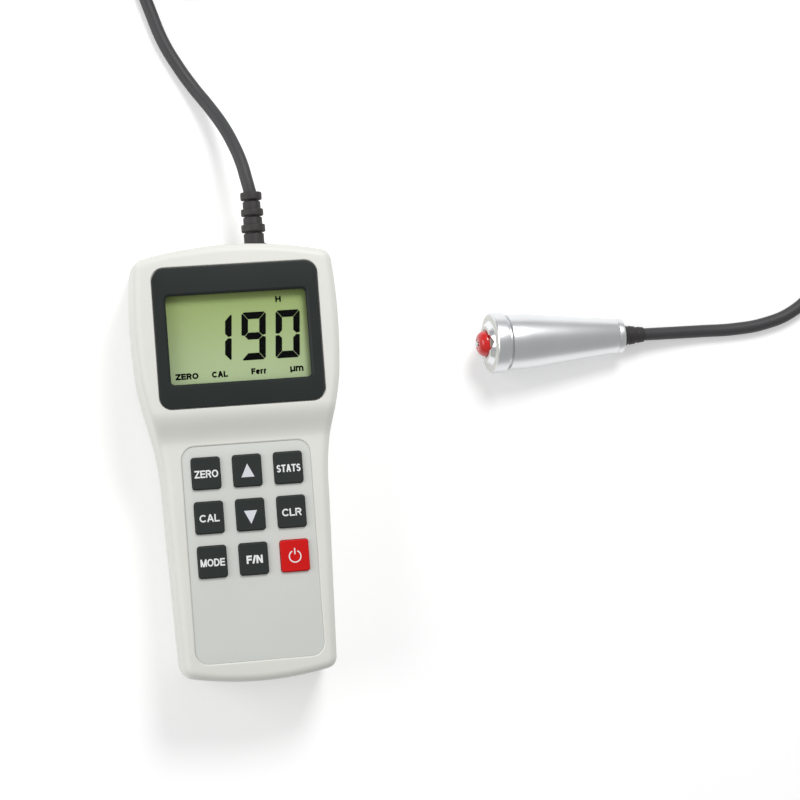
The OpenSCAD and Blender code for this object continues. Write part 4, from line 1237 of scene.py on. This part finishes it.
# %% Probe spring
SPRING_FROM, SPRING_TO = 22.8, 40
t = Tree("return_spring", radius=3.4 * MM, height=16.8 * MM, turns=6.0, wire=0.4 * MM)
g = t.given.outputs
wire = spring_wire(t, g["radius"], g["radius"], g["height"], g["turns"], g["wire"])
start, end = (Vector(at_probe(u, 0, 0)) * MM for u in (SPRING_FROM, SPRING_TO))
lean = (0, math.pi / 2 + PROBE_TILT, 0)
lay = t.add("Transform", {"Geometry": wire, "Translation": start, "Rotation": lean})
t.close(lay.outputs[0], plated_steel)
return_spring = t.grow("return_spring")
dress(return_spring, "gauge", "plated_steel", "probe_spring")
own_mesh(return_spring)

# %% [markdown]
# ## Screws
# Four screws hold the shells and four hold the board. One node tree builds a pan head with a cross recess and
# sets it on every point that it is given, so both sets come from the same tree with other sizes.

# %% Screws
SHANK_R, RECESS_W, RECESS_DEEP, RECESS_REACH = 1.25 * MM, 0.7 * MM, 1.6 * MM, 1.3


def screw_tree(name, head, head_t, length):
    """A pan head screw on every point, with a cross recess; sizes in millimetres."""
    t = Tree(name, head_radius=head * MM, head_height=head_t * MM, shank_radius=SHANK_R, length=length * MM)
    g = t.given.outputs

    def vector(**parts):
        return t.add("ShaderNodeCombineXYZ", parts).outputs[0]

    def moved(solid, z):
        return t.add("Transform", {"Geometry": solid.outputs[0], "Translation": vector(Z=z)})

    def together(*solids):
        joined = t.add("JoinGeometry")
        for solid in solids:
            t.tree.links.new(solid.outputs[0], joined.inputs[0])
        return joined

    top = t.add("MeshCylinder", {"Vertices": 40, "Radius": g["head_radius"], "Depth": g["head_height"]})
    top = moved(top, t.maths("MULTIPLY", g["head_height"], -0.5))
    wide = t.maths("MULTIPLY", g["head_radius"], RECESS_REACH)
    low = t.maths("MULTIPLY", g["head_height"], -1.0)
    sizes = [vector(X=x, Y=y, Z=RECESS_DEEP) for x, y in ((wide, RECESS_W), (RECESS_W, wide))]
    slots = together(*(moved(t.add("MeshCube", {"Size": size}), low) for size in sizes))
    cross = t.add("MeshBoolean", {"Mesh 1": top.outputs[0], "Mesh 2": slots.outputs[0]})
    shank = t.add("MeshCylinder", {"Vertices": 32, "Radius": g["shank_radius"], "Depth": g["length"]})
    whole = together(cross, moved(shank, t.maths("MULTIPLY", g["length"], 0.5)))
    many = t.add("InstanceOnPoints", {"Points": g["Geometry"], "Instance": whole.outputs[0]})
    t.close(many.outputs[0], plated_steel)
    return t


for name, stands_for, sizes, z, spots in (
    ("shell_screws", "case_screws", (2.5, 1.9, 19.5), 4.5, CASE_SCREWS),
    ("circuit_screws", "board_screws", (2.1, 1.3, 5.2), 17.0, BOARD_SCREWS),
):
    screws = screw_tree(name, *sizes).grow(name, [(x, y, z) for x, y in spots])
    dress(screws, "gauge", "plated_steel", stands_for)

# %% [markdown]
# ## Inner pieces
# Board, cells, contact strips and the rest keep their engineering shapes and get finishes of their own, so
# the gauge is complete when its cover is off or its shells are lifted away.

# %% Bands and stripes


def banded(material, stops, low, high):
    """Replaces a finish's colour by bands along Y; stops are (share, colour)."""
    tree = material.node_tree
    parts = node(tree, "ShaderNodeSeparateXYZ")
    share = node(tree, "ShaderNodeMapRange", "along", From_Min=low * MM, From_Max=high * MM)
    bands = node(tree, "ShaderNodeValToRGB", "bands")
    bands.color_ramp.interpolation = "CONSTANT"
    ramp = bands.color_ramp.elements
    while len(ramp) < len(stops):
        ramp.new(0.5)
    for element, (position, colour) in zip(ramp, stops):
        element.position = position
        element.color = (*colour, 1)
    join(tree, (tree.nodes["Texture Coordinate"], "Object", parts, "Vector"), (parts, "Y", share, "Value"))
    join(tree, (share, "Result", bands, "Fac"), (bands, "Color", tree.nodes["Principled BSDF"], "Base Color"))
    return material


def striped(material, colour, scale, axis="X"):
    """Mixes a second colour into a finish as fine even stripes."""
    tree = material.node_tree
    wave = node(tree, "ShaderNodeTexWave", "stripes", Scale=scale, Distortion=0.0)
    wave.bands_direction = axis
    join(tree, (tree.nodes["Texture Coordinate"], "Object", wave, "Vector"))
    return mix_in(material, colour, wave.outputs["Fac"])


def paint(material, *names):
    """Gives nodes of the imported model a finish."""
    for name in names:
        target = frame["nodes"][name]
        if target.material_slots:
            target.material_slots[0].material = material
        else:
            target.data.materials.append(material)
    print(material.name, "on", ", ".join(names))


print("bands, stripes and paint ready")

# %% Finishes of the inner pieces
STEEL, SLEEVE_DARK, SLEEVE_PALE = shade(190, 192, 194), shade(38, 62, 104), shade(186, 188, 190)
CELL_BANDS = [(0.0, STEEL), (0.02, SLEEVE_DARK), (0.7, SLEEVE_PALE), (0.95, STEEL)]
for name, ends, cells in (
    ("cells_up", (-51.2, -6.7), ("battery_1", "battery_3")),
    ("cells_down", (-10.95, -55.45), ("battery_2", "battery_4")),
):
    cell_sleeve = finish(name, SLEEVE_DARK, 0.3, 0.03, 80, 3000, 0.03, 0.02)
    paint(banded(cell_sleeve, CELL_BANDS, *ends), *cells)
paint(finish("holder_white", shade(232, 230, 222), 0.5, 0.02), "lcd_frame", "probe_socket")
strip = finish("strip_rubber", shade(214, 150, 158), 0.6, 0.04, 200, 3000, 0.1, 0.03)
paint(striped(strip, shade(40, 36, 38), 900), "zebra_strips")
board_green = finish("board_green", shade(22, 96, 54), 0.35, 0.06, 60, 2600, 0.06, 0.03)
paint(striped(board_green, shade(34, 122, 72), 120, "DIAGONAL"), "main_board")
paint(finish("chip_black", shade(36, 36, 38), 0.45, 0.08, 200, 3500, 0.12, 0.03), "board_parts")
paint(finish("mat_silicone", shade(92, 94, 96), 0.65, 0.05, 120, 2800, 0.15, 0.04), "keypad_mat")
paint(plated_steel, "battery_plates")
paint(cable_rubber, "cable_tail")
paint(copper_wire, "sensor_coil")
strap = finish("strap_weave", shade(30, 30, 32), 0.8, 0.1, 300, 4000, 0.3, 0.08)
paint(striped(strap, shade(58, 58, 60), 700, "Y"), "cable_tie")

# %% [markdown]
# ## Table and light
# A white table and soft light from above the cable end, as in a product picture. The table glows a little for
# the camera alone, so that it reads as white while the pieces keep their soft shadow on it.

# %% Table
REACH, TABLE_GLOW = 6.0, 0.3
corners = [(x * REACH, y * REACH, 0) for x, y in ((-1, -1), (1, -1), (1, 1), (-1, 1))]
table_mesh = bpy.data.meshes.new("table")
table_mesh.from_pydata(corners, [], [(0, 1, 2, 3)])
table = bpy.data.objects.new("table", table_mesh)
scene.collection.objects.link(table)
table_white = finish("table_white", (0.86, 0.86, 0.86), 0.8, 0.005, 3, 400, 0.01, 0.02)
tree = table_white.node_tree
ray = node(tree, "ShaderNodeLightPath")
seen, shown, glow = (node(tree, "ShaderNodeMath", label) for label in ("seen", "shown", "glow"))
seen.operation = shown.operation = "MAXIMUM"
glow.operation = "MULTIPLY"
glow.inputs[1].default_value = TABLE_GLOW
shader = tree.nodes["Principled BSDF"]
shader.inputs["Emission Color"].default_value = (1, 1, 1, 1)
join(tree, (ray, "Is Camera Ray", seen, 0), (ray, "Is Glossy Ray", seen, 1))
join(tree, (seen, 0, shown, 0), (ray, "Is Transmission Ray", shown, 1))
join(tree, (shown, 0, glow, 0), (glow, 0, shader, "Emission Strength"))
table_mesh.materials.append(table_white)
print("table", 2 * REACH, "m wide")

# %% Light
SKY = 0.43
world = bpy.data.worlds.new("studio")
world.use_nodes = True
sky = world.node_tree.nodes["Background"]
sky.inputs["Color"].default_value = (1, 1, 1, 1)
sky.inputs["Strength"].default_value = SKY
scene.world = world


def lamp(name, at, aim, size, watts):
    """A round soft lamp that looks at a place."""
    data = bpy.data.lights.new(name, "AREA")
    data.shape = "DISK"
    data.size = size
    data.energy = watts
    made = bpy.data.objects.new(name, data)
    made.location = at
    made.rotation_euler = (Vector(aim) - Vector(at)).to_track_quat("-Z", "Y").to_euler()
    scene.collection.objects.link(made)


lamp("key_lamp", (0.17, 0.4, 0.47), (0.02, 0.05, 0.02), 0.24, 2.04)
lamp("fill_lamp", (-0.9, 0.15, 0.5), (0, 0, 0.01), 0.8, 4.2)
print("lamps", len(bpy.data.lights))
